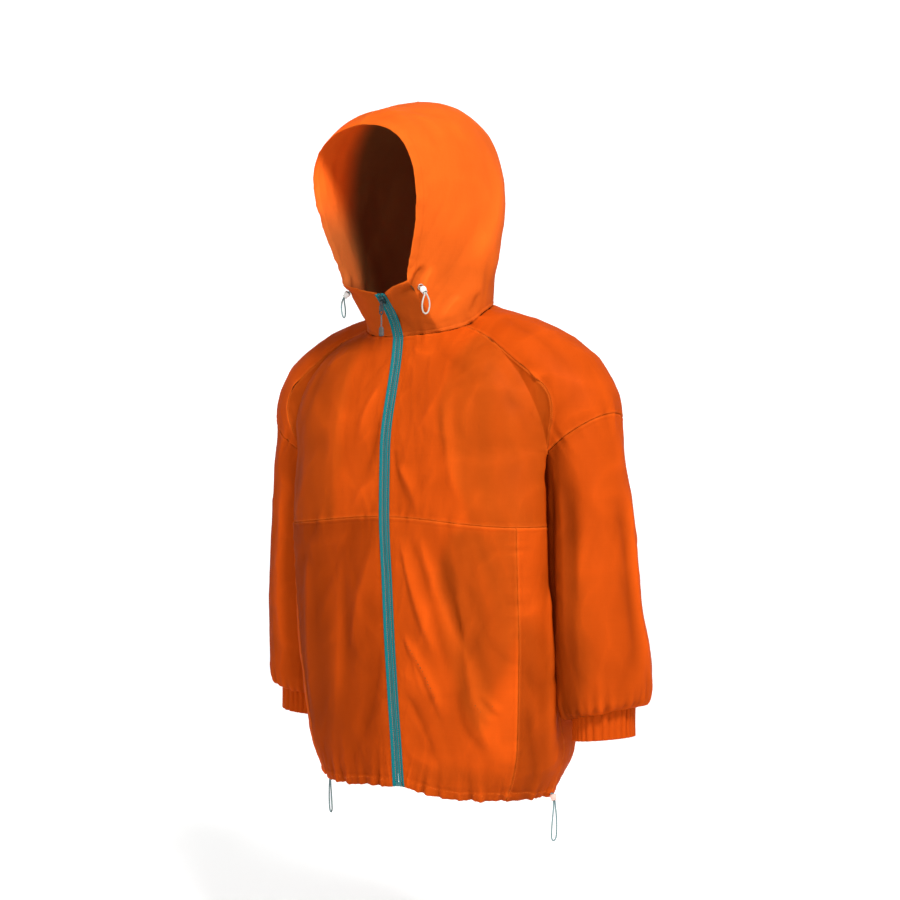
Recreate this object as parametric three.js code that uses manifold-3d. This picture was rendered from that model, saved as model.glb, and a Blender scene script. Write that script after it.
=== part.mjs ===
// Hooded sun protection jacket in its worn shape, with nobody in it: hollow, zipped up, hood raised.
// Millimetres, +Z up, the front faces -Y and the wearer's left is +X. The origin is the middle of the
// neck seam, where the wearer's neck and shoulders hold the jacket up.
//
// The body is one skin in two parts. Above the armhole level it is drawn by spokes that run from the neck
// seam out over the chest, the shoulders and the back. Below it is drawn by rings down to the hem. Each
// sewn piece is a patch of that skin, thickened into a wall, with a narrow gap to its neighbours.

import * as THREE from 'three';
import { mergeVertices } from 'three/addons/utils/BufferGeometryUtils.js';
import Module from 'manifold-3d';

const wasm = await Module();
wasm.setup();

// ---- driving dimensions ----

const CLOTH = 1.2;                  // wall thickness of the cloth
const SEAM_GAP = 0.3;               // between two sewn pieces
const ZIP_HALF = 7.3;               // half the width of zip that shows between the front edges

const NECK = { halfWidth: 100, front: 98, back: 50 };
const SEAM_ANGLE = 62;              // degrees round the neck from the front, where the front seam starts
const CORNER_ANGLE = 38;            // degrees round the neck, below the hood's lower front corner
const BACK_ANGLE = 122;             // degrees round the neck, where the shoulder ends and the back starts

const ARMHOLE = { level: -197, tilt: 39, angle: 112, share: 0.405 };
const CHEST_LEVEL = -205;           // level of the skin's change from spokes to rings at the front
const CHEST_SEAM = -304;            // topstitched seam across the front
const CHEST_SEAM_DROP = 12;         // how much lower that seam is at the side
const POCKET_SHARE = 0.335;         // share of the way round, where the pocket seam runs down
const HEM_LEVEL = -703;
const HEM_RISE = { zip: 15, right: 9 };   // how much higher the hem is at the zip, and at the right front

const SHOULDER = { slope: 0.18, frontFullness: 17 };
const SLEEVE_FLAT = 0.15;           // how much the sleeve is flattened where it faces the body
const SLEEVE_CLEARANCE = 4;         // between the sleeve and the side of the body
const SLEEVE_FULL = -548;           // where the sleeve is fullest, above the cuff
const SLEEVE_TUCK = [-578, -577.2, -574.6, -567, SLEEVE_FULL];

const GATHERS = 28;                 // folds round each cuff
const CUFF = { top: -578.2, bottom: -612, radius: 43.2, gather: 1.3, x: 271, y: 23 };

// Height of the neck seam round the neck, by degrees from the front.
const NECK_LEVELS = [
  { at: 0, level: -47 },
  { at: 30, level: -43.5 },
  { at: 62, level: -33 },
  { at: 92, level: -9 },
  { at: 122, level: 2 },
  { at: 180, level: 8 },
];

// Level rings of the body below the arms. Turn is how far a ring is twisted round the body, in degrees.
const TORSO = [
  { at: -720, halfWidth: 170, front: 100, back: 80, square: 2.1, turn: 6.0 },
  { at: -703, halfWidth: 178, front: 107, back: 87, square: 2.1, turn: 6.0 },
  { at: -680, halfWidth: 192, front: 112, back: 101, square: 2.2, turn: 5.6 },
  { at: -640, halfWidth: 208, front: 114, back: 117, square: 2.4, turn: 4.8 },
  { at: -550, halfWidth: 219, front: 119, back: 128, square: 2.8, turn: 3.0 },
  { at: -470, halfWidth: 224, front: 124, back: 130, square: 3.1, turn: 2.0 },
  { at: -400, halfWidth: 226, front: 126, back: 129, square: 3.3, turn: 1.0 },
  { at: -300, halfWidth: 228, front: 130, back: 125, square: 3.4, turn: 0.0 },
  { at: -205, halfWidth: 226, front: 128, back: 118, square: 3.2, turn: 0.0 },
  { at: -150, halfWidth: 222, front: 124, back: 112, square: 3.0, turn: 0.0 },
];

// Level rings of the left sleeve: the middle of each ring and its radius.
const SLEEVE = [
  { at: -578.0, x: 271, y: 23, radius: 44.2 },
  { at: -577.4, x: 271, y: 23, radius: 47 },
  { at: -575, x: 270, y: 24, radius: 58 },
  { at: -567, x: 268, y: 26, radius: 66 },
  { at: -548, x: 266, y: 27, radius: 70 },
  { at: -500, x: 264, y: 24, radius: 70 },
  { at: -430, x: 260, y: 14, radius: 67 },
  { at: -300, x: 254, y: 9, radius: 63 },
  { at: -205, x: 247, y: 4, radius: 59 },
  { at: -150, x: 243, y: 4, radius: 58 },
];

// Side view of the hood's centre seam, as seen from the chin: a turn from straight back, in degrees,
// and the reach from the chin at that turn.
const CHIN = { y: -150, z: 20 };
const HOOD_PROFILE = [
  { at: -2.3, reach: 200 },
  { at: 12, reach: 210 },
  { at: 26, reach: 249 },
  { at: 38, reach: 297 },
  { at: 50, reach: 319 },
  { at: 60, reach: 310 },
  { at: 69, reach: 294 },
  { at: 83, reach: 260 },
  { at: 91, reach: 247 },
  { at: 98, reach: 228 },
];
// Rings of the hood from the neck seam (0) to the face opening (1).
const HOOD_RINGS = [
  { at: 0.0, halfWidth: 100, widest: 0.36, roundness: 2.0, bow: 0 },
  { at: 0.3, halfWidth: 105, widest: 0.4, roundness: 2.3, bow: 4 },
  { at: 0.6, halfWidth: 108, widest: 0.5, roundness: 2.4, bow: 8 },
  { at: 1.0, halfWidth: 92, widest: 0.62, roundness: 2.2, bow: 7 },
];
const HOOD_CORNER = new THREE.Vector3(58, -152, 27);
const COLLAR_TOP = { y: -140, z: 12, fullness: 7 };

// Soft folds. Each runs over the skin from one place to another in the front view (x, z), on the front
// or the back, with a half width and a depth. A negative depth is a hollow.
const FOLDS = [
  { side: 'front', x1: 30, z1: -330, x2: 120, z2: -650, width: 24, depth: 5 },
  { side: 'front', x1: 60, z1: -320, x2: 165, z2: -600, width: 20, depth: -4 },
  { side: 'front', x1: 150, z1: -330, x2: 60, z2: -680, width: 22, depth: -4 },
  { side: 'front', x1: 70, z1: -90, x2: 120, z2: -280, width: 26, depth: 3.5 },
  { side: 'front', x1: 170, z1: -110, x2: 150, z2: -300, width: 20, depth: -3.5 },
  { side: 'front', x1: -40, z1: -340, x2: -90, z2: -660, width: 24, depth: 4.5 },
  { side: 'front', x1: -110, z1: -330, x2: -60, z2: -640, width: 22, depth: -4 },
  { side: 'front', x1: -80, z1: -100, x2: -70, z2: -300, width: 26, depth: -4 },
  { side: 'front', x1: -150, z1: -120, x2: -165, z2: -320, width: 24, depth: 3.5 },
  { side: 'back', x1: 120, z1: -150, x2: 60, z2: -420, width: 28, depth: -4 },
  { side: 'back', x1: -120, z1: -150, x2: -50, z2: -450, width: 28, depth: -4 },
  { side: 'back', x1: 20, z1: -300, x2: 90, z2: -640, width: 30, depth: 5 },
  { side: 'back', x1: -60, z1: -380, x2: -110, z2: -660, width: 26, depth: 4 },
];

// ---- small maths ----

const radians = THREE.MathUtils.degToRad;
const lerp = THREE.MathUtils.lerp;
const smooth = (share) => THREE.MathUtils.smoothstep(share, 0, 1);
const mirror = (point, side) => new THREE.Vector3(point.x * side, point.y, point.z);

// Reads a table at a place between its rows, on a curve through them that doesn't overshoot.
function read(table, at) {
  const last = table.length - 1;
  const place = THREE.MathUtils.clamp(at, table[0].at, table[last].at);
  let row = 0;
  while (row < last - 1 && place > table[row + 1].at) row += 1;
  const step = table[row + 1].at - table[row].at;
  const share = (place - table[row].at) / step;
  const slope = (key, i) => (table[i + 1][key] - table[i][key]) / (table[i + 1].at - table[i].at);
  const tangent = (key, i) => {
    if (i === 0) return slope(key, 0);
    if (i === last) return slope(key, last - 1);
    const before = slope(key, i - 1);
    const after = slope(key, i);
    return before * after <= 0 ? 0 : (2 * before * after) / (before + after);
  };
  const found = {};
  for (const key of Object.keys(table[0])) {
    const from = table[row][key];
    const to = table[row + 1][key];
    const leave = tangent(key, row) * step;
    const arrive = tangent(key, row + 1) * step;
    const s2 = share * share;
    const s3 = s2 * share;
    found[key] = (2 * s3 - 3 * s2 + 1) * from + (s3 - 2 * s2 + share) * leave
      + (3 * s2 - 2 * s3) * to + (s3 - s2) * arrive;
  }
  return found;
}

// ---- the skin of the body ----

// A quarter of a rounded rectangle from its flat side (share 0) to its narrow side (share 1), with the
// share counted along the curve.
function quarter(halfWidth, depth, square, share, start = 0) {
  const steps = 40;
  const at = (i) => {
    const angle = (Math.PI / 2) * (i / steps);
    return [halfWidth * Math.sin(angle) ** (2 / square), depth * Math.cos(angle) ** (2 / square)];
  };
  const lengths = [0];
  for (let i = 1; i <= steps; i += 1) {
    const [x1, y1] = at(i - 1);
    const [x2, y2] = at(i);
    lengths.push(lengths[i - 1] + Math.hypot(x2 - x1, y2 - y1));
  }
  const wanted = start + (lengths[steps] - start) * share;
  let i = 1;
  while (i < steps && lengths[i] < wanted) i += 1;
  const part = (wanted - lengths[i - 1]) / (lengths[i] - lengths[i - 1]);
  const [x1, y1] = at(i - 1);
  const [x2, y2] = at(i);
  return [lerp(x1, x2, part), lerp(y1, y2, part)];
}

// Radius of the left sleeve's ring at an angle. Angle 0 faces outward, 90 the front, 180 the body.
function sleeveRadius(ring, angle) {
  const inward = Math.max(0, -Math.cos(radians(angle)));
  return ring.radius * (1 - SLEEVE_FLAT * inward ** 1.5);
}

function sleevePoint(angle, level) {
  const ring = read(SLEEVE, level);
  const radius = sleeveRadius(ring, angle);
  const turn = radians(angle);
  return new THREE.Vector3(ring.x + radius * Math.cos(turn), ring.y - radius * Math.sin(turn), level);
}

function armhole(angle) {
  return sleevePoint(angle, ARMHOLE.level + ARMHOLE.tilt * Math.cos(radians(angle)));
}

// The body's own rim of the armhole, which lies beside the sleeve's where the two fold back under the arm.
function bodyRim(angle) {
  const beside = smooth(-4 * Math.cos(radians(angle)));
  const away = new THREE.Vector3(Math.cos(radians(angle)), -Math.sin(radians(angle)), 0);
  return armhole(angle).addScaledVector(away, 2 * SEAM_GAP * beside);
}

// Moves a point of the body's side until it clears the sleeve. Soft is how gently the cloth turns there.
function clearOfSleeve(point, clearance, soft) {
  const ring = read(SLEEVE, Math.max(point.z, SLEEVE_FULL));
  const dx = point.x - ring.x;
  const dy = point.y - ring.y;
  const distance = Math.hypot(dx, dy);
  const angle = THREE.MathUtils.radToDeg(Math.atan2(-dy, dx));
  const over = sleeveRadius(ring, angle) + clearance - distance;
  const push = 0.5 * (over + Math.hypot(over, soft));
  const belowSleeve = smooth((point.z + 640) / 60);
  const move = (Math.max(0, push) * belowSleeve) / distance;
  return new THREE.Vector3(point.x + dx * move, point.y + dy * move, point.z);
}

// A place on a level ring of the body. Share 0 is the zip's edge, 0.5 the side and 1 the middle of the back.
function ringPoint(share, level) {
  const ring = read(TORSO, level);
  if (share <= 0.5) {
    const [x, y] = quarter(ring.halfWidth, ring.front, ring.square, share * 2, ZIP_HALF);
    return new THREE.Vector3(x, -y, level);
  }
  const [x, y] = quarter(ring.halfWidth, ring.back, ring.square, (1 - share) * 2);
  return new THREE.Vector3(x, y, level);
}

// The ring at armhole level, which dips under the arm along the armhole.
function armholeRing(share) {
  const { share: front, angle } = ARMHOLE;
  if (share > front && share < 1 - front) {
    return bodyRim(lerp(angle, 360 - angle, (share - front) / (1 - 2 * front)));
  }
  const back = share > 0.5;
  const part = (back ? 1 - share : share) / front;
  const crease = back ? bodyRim(360 - angle) : bodyRim(angle);
  const level = lerp(CHEST_LEVEL, crease.z, smooth(part));
  const free = ringPoint(share, level);
  const atCrease = ringPoint(back ? 1 - front : front, crease.z);
  return free.addScaledVector(crease.clone().sub(atCrease), smooth(part * 1.6 - 0.6));
}

// The body below the armhole level: share runs round as in ringPoint, level is the height.
function lowerSkin(share, level) {
  const top = armholeRing(share);
  const below = top.z - level;
  const soft = 8;
  const point = clearOfSleeve(ringPoint(share, level), SLEEVE_CLEARANCE, soft);
  const start = clearOfSleeve(ringPoint(share, top.z), SLEEVE_CLEARANCE, soft);
  const fade = Math.max(0, 1 - below / 110) ** 2;
  return point.addScaledVector(top.clone().sub(start), fade);
}

function neckSeam(angle) {
  const turn = radians(angle);
  const depth = (NECK.front + NECK.back) / 2;
  return new THREE.Vector3(
    NECK.halfWidth * Math.sin(turn),
    -(NECK.front - depth) - depth * Math.cos(turn),
    read(NECK_LEVELS, angle).level,
  );
}

const NECK_START = THREE.MathUtils.radToDeg(Math.asin(ZIP_HALF / NECK.halfWidth));

// One spoke of the upper skin, from the neck seam (0) to the armhole level (1). Arch 0 is a flat drop
// over the chest, arch 1 the full curve over the shoulder. Squareness 1 carries it further out first.
function spoke(from, to, arch, squareness, fullness, share) {
  const quarterTurn = (Math.PI / 2) * share;
  const reach = Math.sin(quarterTurn) ** lerp(0.95, 0.78, squareness);
  const out = lerp(lerp(share, smooth(share), 0.7), reach, arch);
  const curve = lerp(1 - Math.cos(quarterTurn), reach, SHOULDER.slope);
  const drop = lerp(share, curve, arch);
  return new THREE.Vector3(
    lerp(from.x, to.x, out),
    lerp(from.y, to.y, out) + fullness * Math.sin(Math.PI * share),
    lerp(from.z, to.z, drop),
  );
}

// The chest above the armhole level, out to the front seam. Part is 0 at the zip and 1 at that seam.
function chestSkin(part, share) {
  const neck = neckSeam(lerp(NECK_START, SEAM_ANGLE, part));
  const near = smooth(part);
  return spoke(neck, armholeRing(part * ARMHOLE.share), 0.9 * near, near, -SHOULDER.frontFullness * near, share);
}

// The shoulder, from the front seam (0) over the top to the back of the armhole (1).
function shoulderSkin(part, share) {
  const neck = neckSeam(lerp(SEAM_ANGLE, BACK_ANGLE, part));
  const rim = bodyRim(lerp(ARMHOLE.angle, -ARMHOLE.angle, part));
  const arch = 0.9 + 0.1 * Math.sin(Math.PI * part);
  const facing = Math.cos(Math.PI * part);
  return spoke(neck, rim, arch, facing * facing, -SHOULDER.frontFullness * facing, share);
}

// The back above the armhole level. Part is 0 at the shoulder and 1 at the middle of the back.
function upperBackSkin(part, share) {
  const neck = neckSeam(lerp(BACK_ANGLE, 180, part));
  const near = 1 - smooth(part);
  const rim = armholeRing(lerp(1 - ARMHOLE.share, 1, part));
  return spoke(neck, rim, 0.45 + 0.45 * near, near, SHOULDER.frontFullness * near, share);
}

// ---- the skin of the hood ----

function hoodSeam(share) {
  const angle = lerp(HOOD_PROFILE[0].at, HOOD_PROFILE.at(-1).at, share);
  const { reach } = read(HOOD_PROFILE, angle);
  return [CHIN.y + reach * Math.cos(radians(angle)), CHIN.z + reach * Math.sin(radians(angle))];
}

// The line below the hood's lower front corner, from the neck seam (0) to the corner (1).
function cornerLine(share) {
  const foot = neckSeam(CORNER_ANGLE);
  const point = foot.clone().lerp(HOOD_CORNER, share);
  point.y += 5 * Math.sin(Math.PI * share);
  return point;
}

// One ring of the hood, from the corner line (across 0) to the centre seam (across 1).
function hoodRing(up, across) {
  const start = cornerLine(up);
  const [endY, endZ] = hoodSeam(up);
  const ring = read(HOOD_RINGS, up);
  const wide = 0.8 * ring.widest;   // share of the ring before its widest place
  let x;
  let along;
  if (across < wide) {
    const part = across / wide;
    along = ring.widest * part;
    x = start.x + (ring.halfWidth - start.x) * Math.sin((Math.PI / 2) * part) ** 1.3;
  } else {
    const angle = (Math.PI / 2) * ((across - wide) / (1 - wide));
    along = ring.widest + (1 - ring.widest) * Math.sin(angle) ** (2 / ring.roundness);
    x = ring.halfWidth * Math.cos(angle) ** (2 / ring.roundness);
  }
  const bow = ring.bow * Math.sin(Math.PI * along ** 2);
  return new THREE.Vector3(x, lerp(start.y, endY, along) - bow, lerp(start.z, endZ, along));
}

// The hood behind the corner line, set exactly on the neck seam at its foot.
function hoodSkin(across, up) {
  const seam = neckSeam(lerp(CORNER_ANGLE, 180, across));
  const settle = Math.max(0, 1 - up / 0.35) ** 2;
  return hoodRing(up, across).addScaledVector(seam.sub(hoodRing(0, across)), settle);
}

// The stand in front of the corner line, from the zip (across 0) to that line (across 1).
function standSkin(across, up) {
  const foot = neckSeam(lerp(NECK_START, CORNER_ANGLE, across));
  const round = COLLAR_TOP.fullness * Math.sin(Math.PI * across);
  const head = new THREE.Vector3(
    lerp(ZIP_HALF, HOOD_CORNER.x, across),
    lerp(COLLAR_TOP.y, HOOD_CORNER.y, across) - round,
    lerp(COLLAR_TOP.z, HOOD_CORNER.z, across),
  );
  const point = foot.lerp(head, up);
  point.y += lerp(7, 5, across) * Math.sin(Math.PI * up);
  return point;
}

// ---- folds and twist ----

// Height of the folds at a place on the body.
function foldHeight(point) {
  let height = 0;
  for (const fold of FOLDS) {
    if ((fold.side === 'front') !== (point.y < 0)) continue;
    const dx = fold.x2 - fold.x1;
    const dz = fold.z2 - fold.z1;
    const along = ((point.x - fold.x1) * dx + (point.z - fold.z1) * dz) / (dx * dx + dz * dz);
    if (along <= 0 || along >= 1) continue;
    const away = Math.abs((point.x - fold.x1) * dz - (point.z - fold.z1) * dx) / Math.hypot(dx, dz);
    height += fold.depth * Math.exp(-((away / fold.width) ** 2)) * Math.sin(Math.PI * along);
  }
  return height;
}

// Waves of the gathered hem, dying out above it.
function hemWave(point) {
  const round = Math.atan2(point.y, point.x);
  const near = Math.max(0, 1 - (point.z - HEM_LEVEL) / 60);
  return near * near * (2.2 * Math.sin(19 * round + 0.6) + 1.2 * Math.sin(31 * round));
}

// Places a point of the left body on one side of the jacket: mirrored, folded and twisted.
function dress(point, side) {
  const placed = mirror(point, side);
  const steep = smooth((Math.abs(placed.y) - 45) / 45);
  const height = foldHeight(placed) * steep + hemWave(placed);
  const outward = new THREE.Vector3(placed.x * 0.35, placed.y, 0).normalize();
  placed.addScaledVector(outward, height);
  return placed.applyAxisAngle(new THREE.Vector3(0, 0, 1), radians(read(TORSO, placed.z).turn));
}

// A point of the lower body on one side of the jacket, placed as above and still clear of the sleeve.
function dressLower(share, level, side) {
  const below = armholeRing(share).z - level;
  const placed = dress(lowerSkin(share, level), side);
  if (below <= 0) return placed;
  const least = 2 * SEAM_GAP + 1.4 * smooth(below / 12) + 1.5 * smooth(below / 60);
  return mirror(clearOfSleeve(mirror(placed, side), least, 0), side);
}

// ---- walls ----

// A patch of skin: columns by rows of points, from at(u, v) with u and v from 0 to 1.
const patch = (columns, rows, at) => ({ columns, rows, at });

// Joins patches that share an edge into one skin: its points, its triangles and the way out of the
// cloth at each point. Side -1 turns a mirrored skin the right way out.
function skinOf(patches, side) {
  const points = [];
  const normals = [];
  const faces = [];
  const known = new Map();
  const add = (point, normal) => {
    const key = point.toArray().map((value) => Math.round(value * 1000)).join(' ');
    if (!known.has(key)) {
      known.set(key, points.length);
      points.push(point);
      normals.push(new THREE.Vector3());
    }
    const index = known.get(key);
    normals[index].add(normal);
    return index;
  };
  for (const { columns, rows, at } of patches) {
    const step = 1e-3;
    const grid = [];
    for (let row = 0; row <= rows; row += 1) {
      for (let column = 0; column <= columns; column += 1) {
        const u = column / columns;
        const v = row / rows;
        const u1 = Math.max(0, u - step);
        const u2 = Math.min(1, u + step);
        const v1 = Math.max(0, v - step);
        const v2 = Math.min(1, v + step);
        const acrossWay = at(u2, v).sub(at(u1, v)).normalize();
        const upWay = at(u, v2).sub(at(u, v1)).normalize();
        const normal = acrossWay.cross(upWay).normalize().multiplyScalar(side);
        grid.push(add(at(u, v), normal));
      }
    }
    for (let row = 0; row < rows; row += 1) {
      for (let column = 0; column < columns; column += 1) {
        const a = grid[row * (columns + 1) + column];
        const b = grid[row * (columns + 1) + column + 1];
        const c = grid[(row + 1) * (columns + 1) + column + 1];
        const d = grid[(row + 1) * (columns + 1) + column];
        faces.push([a, b, c], [a, c, d]);
      }
    }
  }
  const turned = side > 0 ? faces : faces.map(([a, b, c]) => [a, c, b]);
  return {
    points,
    normals: normals.map((normal) => normal.normalize()),
    faces: turned.filter(([a, b, c]) => a !== b && b !== c && c !== a),
  };
}

// Edges with a face on one side only, each in its face's direction.
function rimOf(faces) {
  const seen = new Map();
  for (const [a, b, c] of faces) {
    for (const [from, to] of [[a, b], [b, c], [c, a]]) seen.set(`${from} ${to}`, [from, to]);
  }
  return [...seen.values()].filter(([from, to]) => !seen.has(`${to} ${from}`));
}

// Thickens a skin inward into a closed wall, trimmed back at its rim by half a seam gap.
function wallOf(patches, side = 1, thickness = CLOTH, lift = 0) {
  const { points, normals, faces } = skinOf(patches, side);
  const rim = rimOf(faces);
  const trims = points.map(() => new THREE.Vector3());
  for (const [from, to] of rim) {
    const edge = points[to].clone().sub(points[from]).normalize();
    for (const index of [from, to]) trims[index].add(normals[index].clone().cross(edge).normalize());
  }
  const outer = points.map((point, i) => {
    const trim = trims[i].lengthSq() > 0 ? trims[i].normalize().multiplyScalar(SEAM_GAP * 0.55) : trims[i];
    return point.clone().add(trim).addScaledVector(normals[i], lift);
  });
  const inner = outer.map((point, i) => point.clone().addScaledVector(normals[i], -thickness));
  const count = points.length;
  const triangles = [];
  for (const [a, b, c] of faces) triangles.push(a, b, c, count + a, count + c, count + b);
  for (const [from, to] of rim) triangles.push(to, from, count + from, to, count + from, count + to);
  const geometry = new THREE.BufferGeometry();
  geometry.setAttribute('position', new THREE.Float32BufferAttribute(
    [...outer, ...inner].flatMap((point) => point.toArray()), 3));
  geometry.setIndex(triangles);
  return geometry;
}

// ---- joining and cutting solids ----

function solidOf(geometry) {
  const bare = geometry.clone();
  bare.deleteAttribute('normal');
  bare.deleteAttribute('uv');
  const merged = mergeVertices(bare, 1e-4);
  return new wasm.Manifold(new wasm.Mesh({
    numProp: 3,
    vertProperties: Float32Array.from(merged.attributes.position.array),
    triVerts: Uint32Array.from(merged.index.array),
  }));
}

function geometryOf(solid) {
  const mesh = solid.getMesh();
  const geometry = new THREE.BufferGeometry();
  geometry.setAttribute('position', new THREE.BufferAttribute(Float32Array.from(mesh.vertProperties), 3));
  geometry.setIndex([...mesh.triVerts]);
  return geometry;
}

// ---- finishes and the group ----

const finish = (color, roughness, metalness = 0) => new THREE.MeshStandardMaterial({ color, roughness, metalness });
const ORANGE = finish('#e8590c', 0.55);
const ORANGE_DARK = finish('#c84a0a', 0.6);
const TEAL = finish('#2b8a8c', 0.7);
const TEAL_DARK = finish('#155a60', 0.5);
const METAL = finish('#9a9da0', 0.3, 1);
const DARK = finish('#2c2e31', 0.6);
const CLEAR = finish('#cfd4d2', 0.25);
const CORD_GREY = finish('#5c7074', 0.8);
const CORD_PALE = finish('#b9c3c0', 0.8);

const jacket = new THREE.Group();

function place(name, geometry, material, parent = jacket) {
  const mesh = new THREE.Mesh(geometry, material);
  mesh.name = name;
  parent.add(mesh);
  return mesh;
}

// ---- sewn pieces ----

const SIDES = [['left', 1], ['right', -1]];

// Counts of facets. Pieces that meet at a seam use the same count along it.
const FACETS = { chest: 10, spoke: 8, side: 3, arm: 7, stand: 4, hoodBack: 11, hoodUp: 12, sleeve: 10, upper: 4,
  lower: 11, front: 9 };

const chestSeamLevel = (share) => CHEST_SEAM - CHEST_SEAM_DROP * smooth(share / POCKET_SHARE);

// A patch of the lower body between two shares and two levels.
function lowerPatch(columns, rows, [from, to], top, bottom, side) {
  return patch(columns, rows, (u, v) => {
    const share = lerp(from, to, u);
    return dressLower(share, lerp(bottom(share, side), top(share, side), v), side);
  });
}

const hemLevel = (share, side) => {
  const right = side < 0 ? HEM_RISE.right * smooth(share / 0.12) * smooth((0.62 - share) / 0.2) : 0;
  return HEM_LEVEL + HEM_RISE.zip * Math.max(0, 1 - share / 0.22) ** 2 + right;
};
const ringLevel = (share) => armholeRing(share).z;

// The left sleeve between two angles, over its whole length with the tuck above the cuff.
function sleevePatches(columns, from, to, side) {
  const at = (angle, level) => mirror(sleevePoint(angle, level), side);
  return [
    patch(columns, FACETS.sleeve, (u, v) => {
      const angle = lerp(from, to, u);
      return at(angle, lerp(SLEEVE_FULL, armhole(angle).z, v));
    }),
    patch(columns, SLEEVE_TUCK.length - 1, (u, v) => {
      const row = Math.min(SLEEVE_TUCK.length - 2, Math.floor(v * (SLEEVE_TUCK.length - 1)));
      const part = v * (SLEEVE_TUCK.length - 1) - row;
      return at(lerp(from, to, u), lerp(SLEEVE_TUCK[row], SLEEVE_TUCK[row + 1], part));
    }),
  ];
}

const frontPatch = (side) =>
  lowerPatch(FACETS.front, FACETS.lower, [0, POCKET_SHARE], chestSeamLevel, hemLevel, side);

function cuffPoint(u, v) {
  const angle = -2 * Math.PI * (u % 1);
  const radius = CUFF.radius + CUFF.gather * Math.cos(GATHERS * angle) - 0.8 * Math.sin(Math.PI * v);
  return new THREE.Vector3(
    CUFF.x + radius * Math.cos(angle),
    CUFF.y - radius * Math.sin(angle),
    lerp(CUFF.bottom, CUFF.top, v),
  );
}

for (const [word, side] of SIDES) {
  const front = ARMHOLE.share;

  place(`chest_${word}`, wallOf([
    patch(FACETS.chest, FACETS.spoke, (u, v) => dress(chestSkin(u, 1 - v), side)),
    lowerPatch(FACETS.chest, FACETS.upper, [0, front], ringLevel, chestSeamLevel, side),
    lowerPatch(FACETS.side, FACETS.upper, [front, 0.5], ringLevel, chestSeamLevel, side),
  ], side), ORANGE);

  place(`front_${word}`, wallOf([frontPatch(side)], side), ORANGE);

  place(`side_${word}`, wallOf([
    lowerPatch(5, FACETS.lower, [POCKET_SHARE, 0.5], chestSeamLevel, hemLevel, side),
  ], side), ORANGE);

  place(`shoulder_${word}`, wallOf([
    patch(2 * FACETS.arm, FACETS.spoke, (u, v) => dress(shoulderSkin(u, 1 - v), side)),
  ], side), ORANGE);

  place(`yoke_${word}`, wallOf([
    patch(FACETS.chest, FACETS.spoke, (u, v) => dress(upperBackSkin(u, 1 - v), side)),
  ], side), ORANGE);

  place(`back_${word}`, wallOf([
    lowerPatch(FACETS.side, FACETS.upper, [0.5, 1 - front], ringLevel, chestSeamLevel, side),
    lowerPatch(FACETS.side, FACETS.lower, [0.5, 1 - front], chestSeamLevel, hemLevel, side),
    lowerPatch(FACETS.chest, FACETS.upper, [1 - front, 1], ringLevel, chestSeamLevel, side),
    lowerPatch(FACETS.chest, FACETS.lower, [1 - front, 1], chestSeamLevel, hemLevel, side),
  ], side), ORANGE);

  place(`sleeve_${word}`, wallOf([
    ...sleevePatches(2 * FACETS.arm, ARMHOLE.angle, -ARMHOLE.angle, side),
    ...sleevePatches(2 * FACETS.side, -ARMHOLE.angle, ARMHOLE.angle - 360, side),
  ], side), ORANGE);

  place(`cuff_${word}`, wallOf([
    patch(2 * GATHERS, 2, (u, v) => mirror(cuffPoint(u, v), side)),
  ], side), ORANGE_DARK);

  place(`hood_${word}`, wallOf([
    patch(FACETS.stand, FACETS.hoodUp, (u, v) => mirror(standSkin(u, v), side)),
    patch(FACETS.hoodBack, FACETS.hoodUp, (u, v) => mirror(hoodSkin(u, v), side)),
  ], side), ORANGE);
}

// ---- pocket bags ----

// Each bag lies against the back of the front's cloth, from the pocket seam toward the zip. It is drawn on
// the front's own facets, from one column and row of them to another, with its lower inner corner cut off.
const POCKET = { columns: [3, 9], rows: [1, 8], behind: 0.4, wall: 1, corner: 0.4 };
for (const [word, side] of SIDES) {
  const { columns, rows, at } = frontPatch(side);
  const [fromColumn, toColumn] = POCKET.columns;
  const [fromRow, toRow] = POCKET.rows;
  const bag = patch(toColumn - fromColumn, toRow - fromRow, (u, v) => {
    const column = lerp(fromColumn, toColumn, u);
    const row = lerp(fromRow, toRow, v);
    const nearCorner = Math.max(0, 1 - (column - fromColumn)) * Math.max(0, 1 - (row - fromRow));
    const cut = POCKET.corner * nearCorner;
    return at((column + cut) / columns, (row + cut) / rows);
  });
  place(`pocket_${word}`, wallOf([bag], side, POCKET.wall, -CLOTH - POCKET.behind), ORANGE_DARK);
}

// ---- zip ----

// Stages of the front opening's edge, each up to a share of its length.
const ZIP_STAGES = [0, 0.52, 0.7, 0.915, 1];

// The front opening's edge on one side, from the hem (0) to the top of the stand (1).
function zipEdge(along, side) {
  const stage = ZIP_STAGES.findIndex((end, i) => i > 0 && along <= end) - 1;
  const part = (along - ZIP_STAGES[stage]) / (ZIP_STAGES[stage + 1] - ZIP_STAGES[stage]);
  if (stage === 0) return dressLower(0, lerp(hemLevel(0, side), CHEST_SEAM, part), side);
  if (stage === 1) return dressLower(0, lerp(CHEST_SEAM, CHEST_LEVEL, part), side);
  if (stage === 2) return dress(chestSkin(0, 1 - part), side);
  return mirror(standSkin(0, part), side);
}

const zipPoint = (along, across) => zipEdge(along, -1).lerp(zipEdge(along, 1), across);

// A strip of the zip between two places across it, from the right edge (0) to the left edge (1).
function zipStrip([from, to], [bottom, top], rows, thickness, lift) {
  const strip = patch(1, rows, (u, v) => zipPoint(lerp(bottom, top, v), lerp(from, to, u)));
  return wallOf([strip], 1, thickness, lift);
}

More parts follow.
